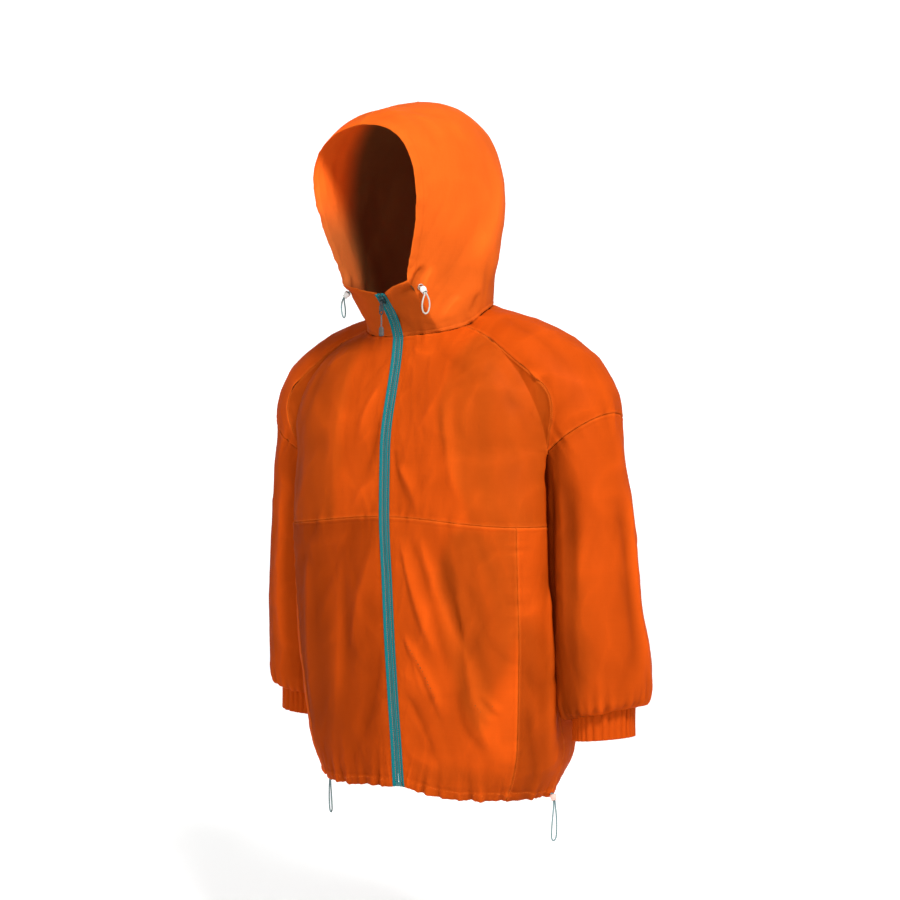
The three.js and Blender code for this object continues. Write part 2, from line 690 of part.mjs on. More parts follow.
const TAPE = { edge: 0.02, middle: 0.42, thickness: 0.9, lift: -0.15 };
const CHAIN = { bottom: 0.012, top: 0.997, rows: 34, thickness: 2, lift: 0.6 };
const STOP = { edge: 0.2, bottom: 0.001, top: 0.0095, thickness: 2, lift: 0.2 };

place('zip_tape_right', zipStrip([TAPE.edge, TAPE.middle], [0, 1], CHAIN.rows, TAPE.thickness, TAPE.lift), TEAL);
place('zip_tape_left', zipStrip([1 - TAPE.middle, 1 - TAPE.edge], [0, 1], CHAIN.rows, TAPE.thickness, TAPE.lift), TEAL);
place('zip_chain', zipStrip([TAPE.middle, 1 - TAPE.middle], [CHAIN.bottom, CHAIN.top], CHAIN.rows,
  CHAIN.thickness, CHAIN.lift), TEAL_DARK);
place('zip_stop', zipStrip([STOP.edge, 1 - STOP.edge], [STOP.bottom, STOP.top], 1,
  STOP.thickness, STOP.lift + STOP.thickness), TEAL_DARK);

// ---- slider and pull ----

// A group standing on a skin: its z is the way out of the cloth and its y the way up along it.
function groupOn(point, out, up) {
  const group = new THREE.Group();
  const across = new THREE.Vector3().crossVectors(up, out).normalize();
  const along = new THREE.Vector3().crossVectors(out, across);
  group.matrix.makeBasis(across, along, out).setPosition(point);
  group.matrix.decompose(group.position, group.quaternion, group.scale);
  jacket.add(group);
  return group;
}

const moved = (geometry, x, y, z) => geometry.translate(x, y, z);
const joined = (...geometries) => geometryOf(geometries.map(solidOf).reduce((sum, solid) => sum.add(solid)));

const SLIDER = { below: 7.5, lift: 0.9, width: 9, height: 12, depth: 3, ear: 1, pin: 0.8, standOff: 2.6 };
const PULL = { eye: 1.15, barrel: 2.1, length: 3.6, width: 7.6, thick: 1.4, tab: 18 };
const STRAP = { width: 2.6, thick: 2, length: 16 };
const END = { width: 8, thick: 4, length: 13.5 };

const chainTop = zipPoint(CHAIN.top, 0.5);
const chainNext = zipPoint(lerp(CHAIN.bottom, CHAIN.top, 1 - 1 / CHAIN.rows), 0.5);
const sliderUp = chainTop.clone().sub(chainNext).normalize();
const sliderFoot = chainTop.clone().addScaledVector(sliderUp, -SLIDER.below);
const sliderOut = new THREE.Vector3(1, 0, 0).cross(sliderUp).normalize();
const slider = groupOn(sliderFoot, sliderOut, sliderUp);
const pinHeight = SLIDER.lift + SLIDER.depth + SLIDER.standOff;

// Slider: a shield narrower at its foot, two ears and the pin between them.
{
  const half = SLIDER.width / 2;
  const tall = SLIDER.height / 2;
  const shield = new THREE.Shape();
  shield.moveTo(-half * 0.6, -tall);
  shield.lineTo(half * 0.6, -tall);
  shield.quadraticCurveTo(half * 0.8, 0, half, tall * 0.5);
  shield.quadraticCurveTo(half, tall, half * 0.4, tall);
  shield.lineTo(-half * 0.4, tall);
  shield.quadraticCurveTo(-half, tall, -half, tall * 0.5);
  shield.quadraticCurveTo(-half * 0.8, 0, -half * 0.6, -tall);
  const body = new THREE.ExtrudeGeometry(shield, { depth: SLIDER.depth, bevelEnabled: false, curveSegments: 4 });
  const ear = () => new THREE.BoxGeometry(SLIDER.ear, 3.4, SLIDER.standOff + 1.8);
  const earX = PULL.length / 2 + SEAM_GAP + SLIDER.ear / 2;
  const earZ = SLIDER.lift + SLIDER.depth + (SLIDER.standOff + 1.8) / 2 - 0.4;
  const pin = new THREE.CylinderGeometry(SLIDER.pin, SLIDER.pin, 2 * earX, 12).rotateZ(Math.PI / 2);
  place('zip_slider', joined(
    moved(body, 0, 0, SLIDER.lift),
    moved(ear(), earX, 0, earZ),
    moved(ear(), -earX, 0, earZ),
    moved(pin, 0, 0, pinHeight),
  ), METAL, slider);
}

// The pull hangs plumb from the slider's pin: an eye on a flat tab, a strap and a moulded end.
const hinge = sliderFoot.clone().addScaledVector(sliderOut, pinHeight);
const pull = new THREE.Group();
pull.position.copy(hinge);
jacket.add(pull);

// A flat outline in the X-Z plane with its thickness along Y, both centred.
function plate(outline, thickness) {
  const geometry = new THREE.ExtrudeGeometry(outline, { depth: thickness, bevelEnabled: false, curveSegments: 5 });
  return geometry.translate(0, 0, -thickness / 2).rotateX(Math.PI / 2);
}

{
  const half = PULL.width / 2;
  const outline = new THREE.Shape();
  outline.moveTo(-PULL.length / 2, -PULL.eye - 0.5);
  outline.lineTo(PULL.length / 2, -PULL.eye - 0.5);
  outline.quadraticCurveTo(half, -5, half, -8);
  outline.lineTo(half, -PULL.tab + half);
  outline.absarc(0, -PULL.tab + half, half, 0, -Math.PI, true);
  outline.lineTo(-half, -8);
  outline.quadraticCurveTo(-half, -5, -PULL.length / 2, -PULL.eye - 0.5);
  const slot = new THREE.Path();
  slot.absellipse(0, -PULL.tab + half, 2.2, 1.6, 0, 2 * Math.PI, false);
  outline.holes.push(slot);
  const profile = [[PULL.eye, -0.5], [PULL.barrel, -0.5], [PULL.barrel, 0.5], [PULL.eye, 0.5], [PULL.eye, -0.5]]
    .map(([radius, end]) => new THREE.Vector2(radius, end * PULL.length));
  const eye = new THREE.LatheGeometry(profile, 14).rotateZ(Math.PI / 2);
  place('zip_tab', joined(plate(outline, PULL.thick), eye), METAL, pull);
}

{
  const half = STRAP.width / 2;
  const outline = new THREE.Shape();
  outline.moveTo(-half, 0);
  outline.lineTo(half, 0);
  outline.lineTo(half, STRAP.length - SEAM_GAP);
  outline.lineTo(-half, STRAP.length - SEAM_GAP);
  const strap = plate(outline, STRAP.thick).translate(0, 0, -PULL.tab - STRAP.length);
  place('pull_strap', strap, DARK, pull);
}

{
  const half = END.width / 2;
  const outline = new THREE.Shape();
  outline.moveTo(-half * 0.55, 0);
  outline.lineTo(half * 0.55, 0);
  outline.quadraticCurveTo(half, -1, half, -4);
  outline.lineTo(half, -END.length + 1.5);
  outline.quadraticCurveTo(half, -END.length, half - 1.5, -END.length);
  outline.lineTo(-half + 1.5, -END.length);
  outline.quadraticCurveTo(-half, -END.length, -half, -END.length + 1.5);
  outline.lineTo(-half, -4);
  outline.quadraticCurveTo(-half, -1, -half * 0.55, 0);
  const end = plate(outline, END.thick).translate(0, 0, -PULL.tab - STRAP.length - SEAM_GAP);
  place('pull_end', end, DARK, pull);
}

// ---- drawcords ----

const CORD = { radius: 1.1, sides: 8, steps: 20 };
const EYELET = { inner: 3, outer: 4.8, height: 0.9, lift: 0.5 };
const LOCK = { inner: 3.05, outer: 4.6, end: 3.8, length: 8.6 };

// Each drawcord shows as one loop: both strands leave an eyelet, pass a spring lock and hang. Out is the
// distance from the cloth, drop the distance below the eyelet and spread half the way between strands.
// The lock sits on the stretch between rows 2 and 4.
const HOOD_LOOP = [
  { out: 0.3, drop: 0.0, spread: 1.3 },
  { out: 2.6, drop: 0.4, spread: 1.3 },
  { out: 5.0, drop: 2.0, spread: 1.3 },
  { out: 8.0, drop: 5.2, spread: 1.3 },
  { out: 11.0, drop: 8.4, spread: 1.3 },
  { out: 12.8, drop: 12.0, spread: 2.2 },
  { out: 13.4, drop: 17.5, spread: 4.8 },
  { out: 13.2, drop: 24.5, spread: 6.4 },
  { out: 12.7, drop: 31.0, spread: 6.0 },
  { out: 12.3, drop: 36.0, spread: 3.9 },
  { out: 12.2, drop: 38.2, spread: 0.0 },
];
const HEM_LOOP = [
  { out: 0.3, drop: 0.0, spread: 1.3 },
  { out: 2.8, drop: 0.6, spread: 1.3 },
  { out: 5.4, drop: 3.0, spread: 1.3 },
  { out: 6.8, drop: 7.2, spread: 1.3 },
  { out: 8.0, drop: 11.4, spread: 1.3 },
  { out: 8.8, drop: 18.0, spread: 1.7 },
  { out: 9.0, drop: 30.0, spread: 3.2 },
  { out: 8.6, drop: 43.0, spread: 4.6 },
  { out: 8.0, drop: 57.0, spread: 5.0 },
  { out: 7.4, drop: 65.5, spread: 3.9 },
  { out: 7.2, drop: 68.6, spread: 0.0 },
];

// A ring turned about Z, from inner to outer radius, closed on itself.
function turnedRing(profile, segments) {
  const points = [...profile, profile[0]].map(([radius, height]) => new THREE.Vector2(radius, height));
  return new THREE.LatheGeometry(points, segments).rotateX(Math.PI / 2);
}

// A place on the flat facets of a patch instead of on its smooth skin.
function facetPoint(skin, columns, rows, u, v) {
  const column = Math.min(columns - 1, Math.floor(u * columns));
  const row = Math.min(rows - 1, Math.floor(v * rows));
  const corner = (i, j) => skin((column + i) / columns, (row + j) / rows);
  const low = corner(0, 0).lerp(corner(1, 0), u * columns - column);
  const high = corner(0, 1).lerp(corner(1, 1), u * columns - column);
  return low.lerp(high, v * rows - row);
}

// The loops: where each leaves the cloth, as a skin and a place on it, and its table and finish.
const hoodExit = (side) => (u, v) => mirror(facetPoint(hoodSkin, FACETS.hoodBack, FACETS.hoodUp, u, v), side);
const hemExit = (side) => (u, v) => dressLower(u, v, side);
const LOOPS = SIDES.flatMap(([word, side]) => [
  { name: `hood_${word}`, side, skin: hoodExit(side), at: [0.03, 0.74], step: 0.01, rows: HOOD_LOOP,
    finish: side > 0 ? CORD_PALE : CORD_GREY },
  { name: `hem_${word}`, side, skin: hemExit(side), at: [0.5, hemLevel(0.5, side) + 7.5], step: 0.004, rows: HEM_LOOP,
    finish: CORD_GREY },
]);

for (const { name, side, skin, at: [u, v], step, rows, finish: material } of LOOPS) {
  const exit = skin(u, v);
  const acrossWay = skin(u + step, v).sub(skin(u - step, v));
  const upWay = skin(u, v + 100 * step * (v < 0 ? 5 : 0.01)).sub(exit).normalize();
  const out = acrossWay.cross(upWay).multiplyScalar(side).normalize();
  const level = new THREE.Vector3(out.x, out.y, 0).normalize();
  const sideways = new THREE.Vector3(-level.y, level.x, 0);
  const strand = (row, hand) => exit.clone()
    .addScaledVector(row.drop < 1 ? out : level, row.out)
    .addScaledVector(sideways, hand * row.spread)
    .add(new THREE.Vector3(0, 0, -row.drop));

  const eyelet = groupOn(exit, out, upWay);
  place(`eyelet_${name}`, turnedRing([
    [EYELET.inner, EYELET.lift],
    [EYELET.outer, EYELET.lift],
    [EYELET.outer, EYELET.lift + EYELET.height],
    [EYELET.inner, EYELET.lift + EYELET.height],
  ], 14), METAL, eyelet);

  const route = [
    ...rows.map((row) => strand(row, 1)),
    ...rows.slice(0, -1).reverse().map((row) => strand(row, -1)),
  ];
  const section = new THREE.Shape();
  for (let i = 0; i < CORD.sides; i += 1) {
    const angle = (2 * Math.PI * i) / CORD.sides;
    const corner = [CORD.radius * Math.cos(angle), CORD.radius * Math.sin(angle)];
    if (i === 0) section.moveTo(...corner);
    else section.lineTo(...corner);
  }
  const path = new THREE.CatmullRomCurve3(route, false, 'centripetal');
  const tube = new THREE.ExtrudeGeometry(section, { steps: CORD.steps, extrudePath: path });
  place(`cord_${name}`, tube, material);

  const lockTop = strand({ ...rows[2], spread: 0 }, 1);
  const lockFoot = strand({ ...rows[4], spread: 0 }, 1);
  const lock = groupOn(lockTop.clone().lerp(lockFoot, 0.5), lockFoot.clone().sub(lockTop).normalize(), level);
  place(`lock_${name}`, turnedRing([
    [LOCK.inner, -LOCK.length / 2],
    [LOCK.end, -LOCK.length / 2],
    [LOCK.outer, -LOCK.length / 2 + 1.4],
    [LOCK.outer, LOCK.length / 2 - 1.4],
    [LOCK.end, LOCK.length / 2],
    [LOCK.inner, LOCK.length / 2],
  ], 12), CLEAR, lock);
}

export default jacket;
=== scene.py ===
"""Looks of a hooded sun protection jacket, worn by nobody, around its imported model.

The forms below are worked out in millimetres: x to the wearer's left, y to the back, z up, from the
middle of the neck seam. Every mesh is written in metres in the model's own frame.
"""
import math
from typing import NamedTuple

import bpy
import numpy as np
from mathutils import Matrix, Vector
from mathutils.bvhtree import BVHTree
from mathutils.kdtree import KDTree


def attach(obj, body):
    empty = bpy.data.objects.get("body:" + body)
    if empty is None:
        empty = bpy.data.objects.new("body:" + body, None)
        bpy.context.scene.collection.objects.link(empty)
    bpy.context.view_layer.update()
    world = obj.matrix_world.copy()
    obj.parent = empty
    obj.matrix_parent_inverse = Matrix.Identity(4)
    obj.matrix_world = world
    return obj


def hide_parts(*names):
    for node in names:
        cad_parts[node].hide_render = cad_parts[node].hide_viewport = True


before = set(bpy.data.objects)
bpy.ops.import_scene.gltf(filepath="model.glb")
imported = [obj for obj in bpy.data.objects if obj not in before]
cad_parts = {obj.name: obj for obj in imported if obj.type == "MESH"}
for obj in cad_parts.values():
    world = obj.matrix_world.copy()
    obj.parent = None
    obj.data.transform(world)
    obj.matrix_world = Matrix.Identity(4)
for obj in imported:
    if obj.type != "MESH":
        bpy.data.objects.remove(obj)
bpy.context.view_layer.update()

bl_info = {
    "name": "Sun protection jacket",
    "version": (1, 0, 0),
    "blender": (4, 5, 0),
    "location": "View3D > Sidebar > Jacket",
    "description": "Cloth, zip, drawcords and stage of a hooded sun protection jacket",
    "category": "Object",
}

MM = 0.001
JACKET = "jacket"
PULL = "zip_pull"
SIDES = (("left", 1.0), ("right", -1.0))

# ---- sizes shared with the solids ----

SEAM_GAP = 0.3
ZIP_HALF = 7.3
NECK = {"half_width": 100.0, "front": 98.0, "back": 50.0}
SEAM_ANGLE = 62.0
CORNER_ANGLE = 38.0
BACK_ANGLE = 122.0
ARMHOLE = {"level": -197.0, "tilt": 39.0, "angle": 112.0, "share": 0.405}
CHEST_LEVEL = -205.0
CHEST_SEAM = -304.0
CHEST_SEAM_DROP = 12.0
POCKET_SHARE = 0.335
HEM_LEVEL = -703.0
HEM_RISE = {"zip": 15.0, "right": 9.0}
SHOULDER = {"slope": 0.18, "front_fullness": 17.0}
SLEEVE_FLAT = 0.15
SLEEVE_CLEARANCE = 4.0
SLEEVE_FULL = -548.0
SLEEVE_END = -578.0
GATHERS = 28
SLEEVE_SAG = 0.24       # how far the sleeve's foot drops toward the body, for its width
CUFF = {"top": -578.2, "bottom": -612.0, "radius": 43.2, "x": 271.0, "y": 23.0, "pleat": 4.2,
        "tucked_in": 0.3}
NECK_START = math.degrees(math.asin(ZIP_HALF / NECK["half_width"]))

NECK_LEVELS = {
    "at": [0, 30, 62, 92, 122, 180],
    "level": [-47, -43.5, -33, -9, 2, 8],
}
TORSO = {
    "at": [-720, -703, -680, -640, -550, -470, -400, -300, -205, -150],
    "half_width": [170, 178, 192, 208, 219, 224, 226, 228, 226, 222],
    "front": [100, 107, 112, 114, 119, 124, 126, 130, 128, 124],
    "back": [80, 87, 101, 117, 128, 130, 129, 125, 118, 112],
    "square": [2.1, 2.1, 2.2, 2.4, 2.8, 3.1, 3.3, 3.4, 3.2, 3.0],
    "turn": [6.0, 6.0, 5.6, 4.8, 3.0, 2.0, 1.0, 0.0, 0.0, 0.0],
}
SLEEVE = {
    "at": [-578.0, -577.4, -575, -567, -548, -500, -430, -300, -205, -150],
    "x": [271, 271, 270, 268, 266, 264, 260, 254, 247, 243],
    "y": [23, 23, 24, 26, 27, 24, 14, 9, 4, 4],
    "radius": [44.2, 47, 58, 66, 70, 70, 67, 63, 59, 58],
}
CHIN = {"y": -150.0, "z": 20.0}
HOOD_PROFILE = {
    "at": [-2.3, 12, 26, 38, 50, 60, 69, 83, 91, 98],
    "reach": [200, 210, 249, 297, 319, 310, 294, 260, 247, 228],
}
HOOD_RINGS = {
    "at": [0.0, 0.3, 0.6, 1.0],
    "half_width": [100, 105, 108, 92],
    "widest": [0.36, 0.4, 0.5, 0.62],
    "roundness": [2.0, 2.3, 2.4, 2.2],
    "bow": [0, 4, 8, 7],
}
HOOD_CORNER = np.array([58.0, -152.0, 27.0])
COLLAR_TOP = {"y": -140.0, "z": 12.0, "fullness": 7.0}


class Fold(NamedTuple):
    """A soft fold between two places in a view of the cloth. A negative depth is a hollow."""
    view: str
    across1: float
    z1: float
    across2: float
    z2: float
    width: float
    depth: float


FOLDS = (
    Fold("front", 30, -330, 120, -650, 24, 5),
    Fold("front", 60, -320, 165, -600, 20, -4),
    Fold("front", 150, -330, 60, -680, 22, -4),
    Fold("front", 70, -90, 120, -280, 26, 3.5),
    Fold("front", 170, -110, 150, -300, 20, -3.5),
    Fold("front", -40, -340, -90, -660, 24, 4.5),
    Fold("front", -110, -330, -60, -640, 22, -4),
    Fold("front", -80, -100, -70, -300, 26, -4),
    Fold("front", -150, -120, -165, -320, 24, 3.5),
    Fold("back", 120, -150, 60, -420, 28, -4),
    Fold("back", -120, -150, -50, -450, 28, -4),
    Fold("back", 20, -300, 90, -640, 30, 5),
    Fold("back", -60, -380, -110, -660, 26, 4),
)


class Crease(NamedTuple):
    """A finer crease on some pieces. Bend bows it sideways; lean makes one flank steeper."""
    pieces: str
    view: str
    across1: float
    z1: float
    across2: float
    z2: float
    bend: float
    width: float
    depth: float
    lean: float


# By piece and view; each row holds the rest of a crease in the order above.
CREASES = [Crease(pieces, view, *row) for pieces, view, rows in (
    # fan of folds below the chest seam, left front
    ("front", "front", (
        (26, -325, 92, -510, 6, 5, 1.9, 0.5),
        (40, -318, 108, -560, -8, 6, -1.7, 0.0),
        (58, -312, 130, -520, 5, 6, 1.6, -0.4),
        (88, -318, 150, -540, 10, 8, -1.8, 0.4),
        (22, -462, 92, -602, -10, 4, 1.9, 0.6),
        (30, -470, 60, -560, -3, 3.4, 1.2, 0.3),
        (24, -545, 74, -660, -6, 4, -1.3, 0.0),
        (118, -380, 158, -660, 8, 6, 2.0, 0.6),
        (112, -540, 150, -640, 12, 5, -1.6, 0.0),
        (146, -545, 172, -578, 2, 2.4, 1.3, 0.7),
        (136, -560, 160, -592, 2, 2.4, 1.1, 0.7),
    )),
    # chest
    ("chest", "front", (
        (104, -130, 136, -300, 10, 6, 1.6, 0.5),
        (18, -225, 60, -300, -6, 5, 1.4, 0.4),
        (12, -200, 40, -290, 4, 5, -1.1, 0.0),
        (24, -60, 70, -70, 8, 4, 0.9, 0.0),
        (-20, -110, -52, -200, 6, 6, 1.4, 0.4),
        (-14, -150, -46, -262, -6, 6, -1.4, 0.0),
        (-78, -70, -100, -300, 5, 8, 1.6, -0.6),
        (-14, -250, -64, -296, 6, 4, 1.0, 0.3),
    )),
    ("front", "front", (
        (-18, -330, -66, -520, 6, 8, 1.6, 0.4),
        (-90, -330, -110, -640, -8, 9, 1.7, -0.4),
        (-12, -470, -60, -640, -10, 6, -1.2, 0.0),
    )),
    ("side front", "front", ((-150, -330, -158, -640, 6, 8, 1.8, 0.3),)),
    # sides and back
    ("side", "left", (
        (-40, -350, -8, -680, 8, 7, 1.8, 0.4),
        (-62, -560, -20, -690, 4, 5, -1.6, 0.0),
    )),
    ("side back", "left", ((34, -330, 20, -640, -8, 8, 1.8, 0.0),)),
    ("side back", "right", ((30, -340, 10, -660, 8, 8, 1.8, 0.0),)),
    ("yoke back", "back", (
        (150, -140, 96, -330, -10, 9, 2.2, 0.4),
        (-150, -140, -90, -340, 10, 9, 2.2, -0.4),
        (60, -220, 100, -520, 12, 9, -1.8, 0.3),
        (-20, -260, -70, -600, -12, 9, 2.0, 0.3),
        (130, -420, 70, -680, 10, 9, 2.0, -0.4),
        (-120, -440, -60, -690, -8, 8, -1.8, 0.0),
        (0, -470, 40, -690, 6, 7, 1.4, 0.4),
        (-40, -60, 60, -80, 8, 6, 1.0, 0.0),
    )),
    # sleeves
    ("sleeve_left", "front", (
        (232, -230, 226, -520, 6, 5, -2.6, 0.4),
        (246, -215, 252, -540, -6, 7, 1.8, -0.4),
        (268, -225, 284, -500, 6, 8, -1.4, 0.0),
        (286, -300, 276, -545, 6, 7, 1.2, 0.0),
    )),
    ("sleeve_left", "left", (
        (20, -240, 44, -540, 8, 9, 1.8, 0.4),
        (-10, -260, 6, -540, -8, 8, -1.4, 0.0),
    )),
    ("sleeve_left", "back", ((262, -240, 248, -530, 8, 9, 2.0, 0.4),)),
    ("sleeve_right", "front", (
        (-232, -240, -228, -540, -6, 6, -2.2, 0.4),
        (-258, -230, -268, -560, 6, 8, 1.8, 0.0),
    )),
    ("sleeve_right", "right", (
        (14, -240, 40, -540, 8, 9, 1.8, 0.0),
        (-14, -280, 0, -540, -6, 8, -1.4, 0.0),
    )),
    ("sleeve_right", "back", ((-262, -240, -246, -520, 8, 9, 2.0, 0.0),)),
    # shoulders, drawn up from the armpit
    ("yoke", "front", (
        (214, -160, 226, -92, -5, 5, 2.2, 0.6),
        (196, -150, 192, -82, 4, 6, -1.8, 0.0),
        (-212, -160, -222, -95, 5, 6, 2.0, 0.4),
    )),
    # hood and stand
    ("hood", "left", (
        (-128, 50, -140, 4, 4, 5, -2.2, 0.3),
        (-112, 52, -122, -4, 4, 6, 1.6, 0.3),
        (-66, 12, -84, -28, 3, 4, 1.4, 0.4),
        (-40, 16, -52, -18, 3, 4, -1.3, 0.0),
    )),
    ("hood", "right", (
        (-126, 48, -138, 6, 4, 5, -2.0, 0.3),
        (-60, 14, -78, -24, 3, 5, 1.4, 0.4),
    )),
    ("hood", "left", ((-60, 60, 20, 220, 20, 22, 1.8, 0.0),)),
    ("hood", "right", ((-60, 60, 20, 220, 20, 22, 1.8, 0.0),)),
    ("hood", "back", (
        (30, 60, 60, 10, 6, 8, 2.0, 0.0),
        (-40, 56, -56, 8, 6, 8, 2.0, 0.0),
    )),
) for row in rows]


class Tint(NamedTuple):
    """A part of the cloth with painted shade or light, as an outline in a view: how far the dark inside
    shows through it as painted shade, partly more layers of cloth, and how much lighter or darker it is
    painted."""
    pieces: str
    view: str
    outline: tuple
    feather: float
    layers: float
    tone: float = 0.0


# Painted shade and light: each tint paints the cloth darker where the dark inside shows through, partly more
# layers of cloth. It also paints it lighter or darker where light falls more or less, as on the darker far
# front, the stand and the strip beside the sleeve.
TINTS = (
    Tint("chest", "front", ((-260, -60), (-76, -40), (-84, -200), (-104, -330), (-260, -330)), 8, 0.5, -0.16),
    Tint("chest", "front", ((98, -90), (120, -40), (260, -40), (260, -340), (150, -340), (118, -250),
                            (96, -180)), 9, 0.6),
    Tint("front", "front", ((94, -372), (112, -330), (250, -300), (250, -420), (184, -480), (146, -612),
                            (110, -560), (92, -470)), 9, 0.6),
    Tint("front", "front", ((-240, -290), (-104, -300), (-112, -420), (-98, -600), (-240, -640)),
         14, 0.2, -0.12),
    Tint("front", "front", ((-270, -290), (-10, -300), (-10, -740), (-270, -740)), 20, 0.0, -0.38),
    Tint("front", "front", ((186, -500), (250, -430), (250, -640), (160, -640), (150, -610)), 14, 0.0, 0.24),
    Tint("front side", "front", ((40, -652), (150, -664), (220, -640), (220, -740), (30, -740)),
         12, 0.3, -0.10),
    Tint("side", "left", ((-140, -400), (-30, -480), (10, -740), (-140, -740)), 22, 0.4, -0.20),
    Tint("sleeve_left", "front", ((180, -150), (256, -190), (272, -330), (276, -620), (180, -620)),
         14, 0.0, -0.5),
    Tint("sleeve_left", "front", ((180, -120), (400, -120), (400, -640), (180, -640)), 14, 0.0, -0.12),
    Tint("sleeve_left", "front", ((262, -330), (282, -350), (290, -520), (270, -560), (262, -450)), 12, 0.3),
    Tint("sleeve_right", "front", ((-340, -300), (-292, -260), (-284, -500), (-340, -560)), 12, 0.3, -0.10),
    Tint("sleeve_right", "front", ((-400, -120), (-180, -120), (-180, -640), (-400, -640)), 14, 0.0, -0.12),
    Tint("hood", "front", ((-90, 34), (-20, 16), (20, 16), (61, 29), (61, -120), (-90, -120)),
         5, 0.15, -0.34),
    Tint("hood", "left", ((-90, 44), (60, 60), (80, -90), (-90, -90)), 24, 0.0, -0.16),
    Tint("yoke", "left", ((-200, 20), (200, 20), (200, -300), (-200, -300)), 20, 0.0, -0.10),
    Tint("yoke back", "back", ((-170, -40), (170, -40), (170, -300), (-170, -300)), 20, 0.35),
)

# ---- small maths, on whole arrays of points ----


def smooth(share):
    """Eases a share in and out between 0 and 1."""
    share = np.clip(share, 0.0, 1.0)
    return share * share * (3.0 - 2.0 * share)


def lerp(a, b, share):
    return a + (b - a) * share


def point(x, y, z):
    return np.stack(np.broadcast_arrays(x, y, z), axis=-1).astype(float)


def mirror(points, side):
    return points * np.array([side, 1.0, 1.0])


def unit(vectors):
    return vectors / np.maximum(np.linalg.norm(vectors, axis=-1, keepdims=True), 1e-9)


def run_of(path):
    """How far along a path each of its places lies."""
    return np.concatenate([[0.0], np.cumsum(np.linalg.norm(np.diff(path, axis=0), axis=1))])


def read(table, at):
    """Reads a table's columns at places between its rows, on curves that don't overshoot."""
    rows = np.array(table["at"], float)
    place = np.clip(np.asarray(at, float), rows[0], rows[-1])
    row = np.clip(np.searchsorted(rows, place, side="left") - 1, 0, len(rows) - 2)
    step = np.diff(rows)
    share = (place - rows[row]) / step[row]
    s2, s3 = share ** 2, share ** 3
    found = {}
    for name, column in table.items():
        if name == "at":
            continue
        values = np.array(column, float)
        slope = np.diff(values) / step
        before, after = slope[:-1], slope[1:]
        total = np.where(before * after > 0, before + after, 1.0)
        middle = np.where(before * after > 0, 2 * before * after / total, 0.0)
        tangent = np.concatenate([slope[:1], middle, slope[-1:]])
        found[name] = ((2 * s3 - 3 * s2 + 1) * values[row] + (s3 - 2 * s2 + share) * tangent[row] * step[row]
                       + (3 * s2 - 2 * s3) * values[row + 1] + (s3 - s2) * tangent[row + 1] * step[row])
    return found


# ---- the skin of the body ----


def quarter(half_width, depth, square, share, start=0.0):
    """A quarter of a rounded rectangle, with the share counted along the curve."""
    angle = np.linspace(0.0, math.pi / 2, 121)
    power = 2.0 / square[..., None]
    x = half_width[..., None] * np.sin(angle) ** power
    y = depth[..., None] * np.abs(np.cos(angle)) ** power
    steps = np.hypot(np.diff(x, axis=-1), np.diff(y, axis=-1))
    lengths = np.concatenate([np.zeros(steps.shape[:-1] + (1,)), np.cumsum(steps, axis=-1)], axis=-1)
    wanted = (start + (lengths[..., -1] - start) * share)[..., None]
    i = np.clip((lengths < wanted).sum(axis=-1, keepdims=True), 1, angle.size - 1)
    pick = lambda values, j: np.take_along_axis(values, j, axis=-1)[..., 0]
    part = (wanted[..., 0] - pick(lengths, i - 1)) / (pick(lengths, i) - pick(lengths, i - 1))
    return lerp(pick(x, i - 1), pick(x, i), part), lerp(pick(y, i - 1), pick(y, i), part)


def sleeve_radius(ring, angle):
    inward = np.maximum(0.0, -np.cos(np.radians(angle)))
    return ring["radius"] * (1 - SLEEVE_FLAT * inward ** 1.5)


def sleeve_point(angle, level):
    """The left sleeve's skin. Angle 0 faces outward, 90 the front and 180 the body."""
    ring = read(SLEEVE, level)
    radius = sleeve_radius(ring, angle)
    turn = np.radians(angle)
    return point(ring["x"] + radius * np.cos(turn), ring["y"] - radius * np.sin(turn), level)


def armhole(angle):
    """The seam where the sleeve is set in: a level ring of the sleeve, tilted."""
    return sleeve_point(angle, ARMHOLE["level"] + ARMHOLE["tilt"] * np.cos(np.radians(angle)))


def body_rim(angle):
    """The body's edge along the armhole, a seam's gap away from the sleeve where they lie side by side."""
    turn = np.radians(angle)
    beside = smooth(-4 * np.cos(turn))[..., None]
    return armhole(angle) + point(np.cos(turn), -np.sin(turn), 0.0) * 2 * SEAM_GAP * beside


def clear_of_sleeve(points, clearance, soft):
    """Moves points of the body's side until they clear the sleeve. A larger soft starts sooner."""
    x, y, z = points[..., 0], points[..., 1], points[..., 2]
    ring = read(SLEEVE, np.maximum(z, SLEEVE_FULL))
    dx, dy = x - ring["x"], y - ring["y"]
    distance = np.hypot(dx, dy)
    over = sleeve_radius(ring, np.degrees(np.arctan2(-dy, dx))) + clearance - distance
    push = np.maximum(0.0, 0.5 * (over + np.hypot(over, soft)))
    move = push * smooth((z + 640) / 60) / distance
    return point(x + dx * move, y + dy * move, z)


def ring_point(share, level):
    """A place on a level ring of the body: share 0 is the zip's edge, 0.5 the side, 1 the centre back."""
    share, level = np.broadcast_arrays(np.asarray(share, float), np.asarray(level, float))
    ring = read(TORSO, level)
    width, square = ring["half_width"], ring["square"]
    fx, fy = quarter(width, ring["front"], square, np.minimum(share * 2, 1), ZIP_HALF)
    bx, by = quarter(width, ring["back"], square, np.minimum((1 - share) * 2, 1))
    ahead = share <= 0.5
    return point(np.where(ahead, fx, bx), np.where(ahead, -fy, by), level)


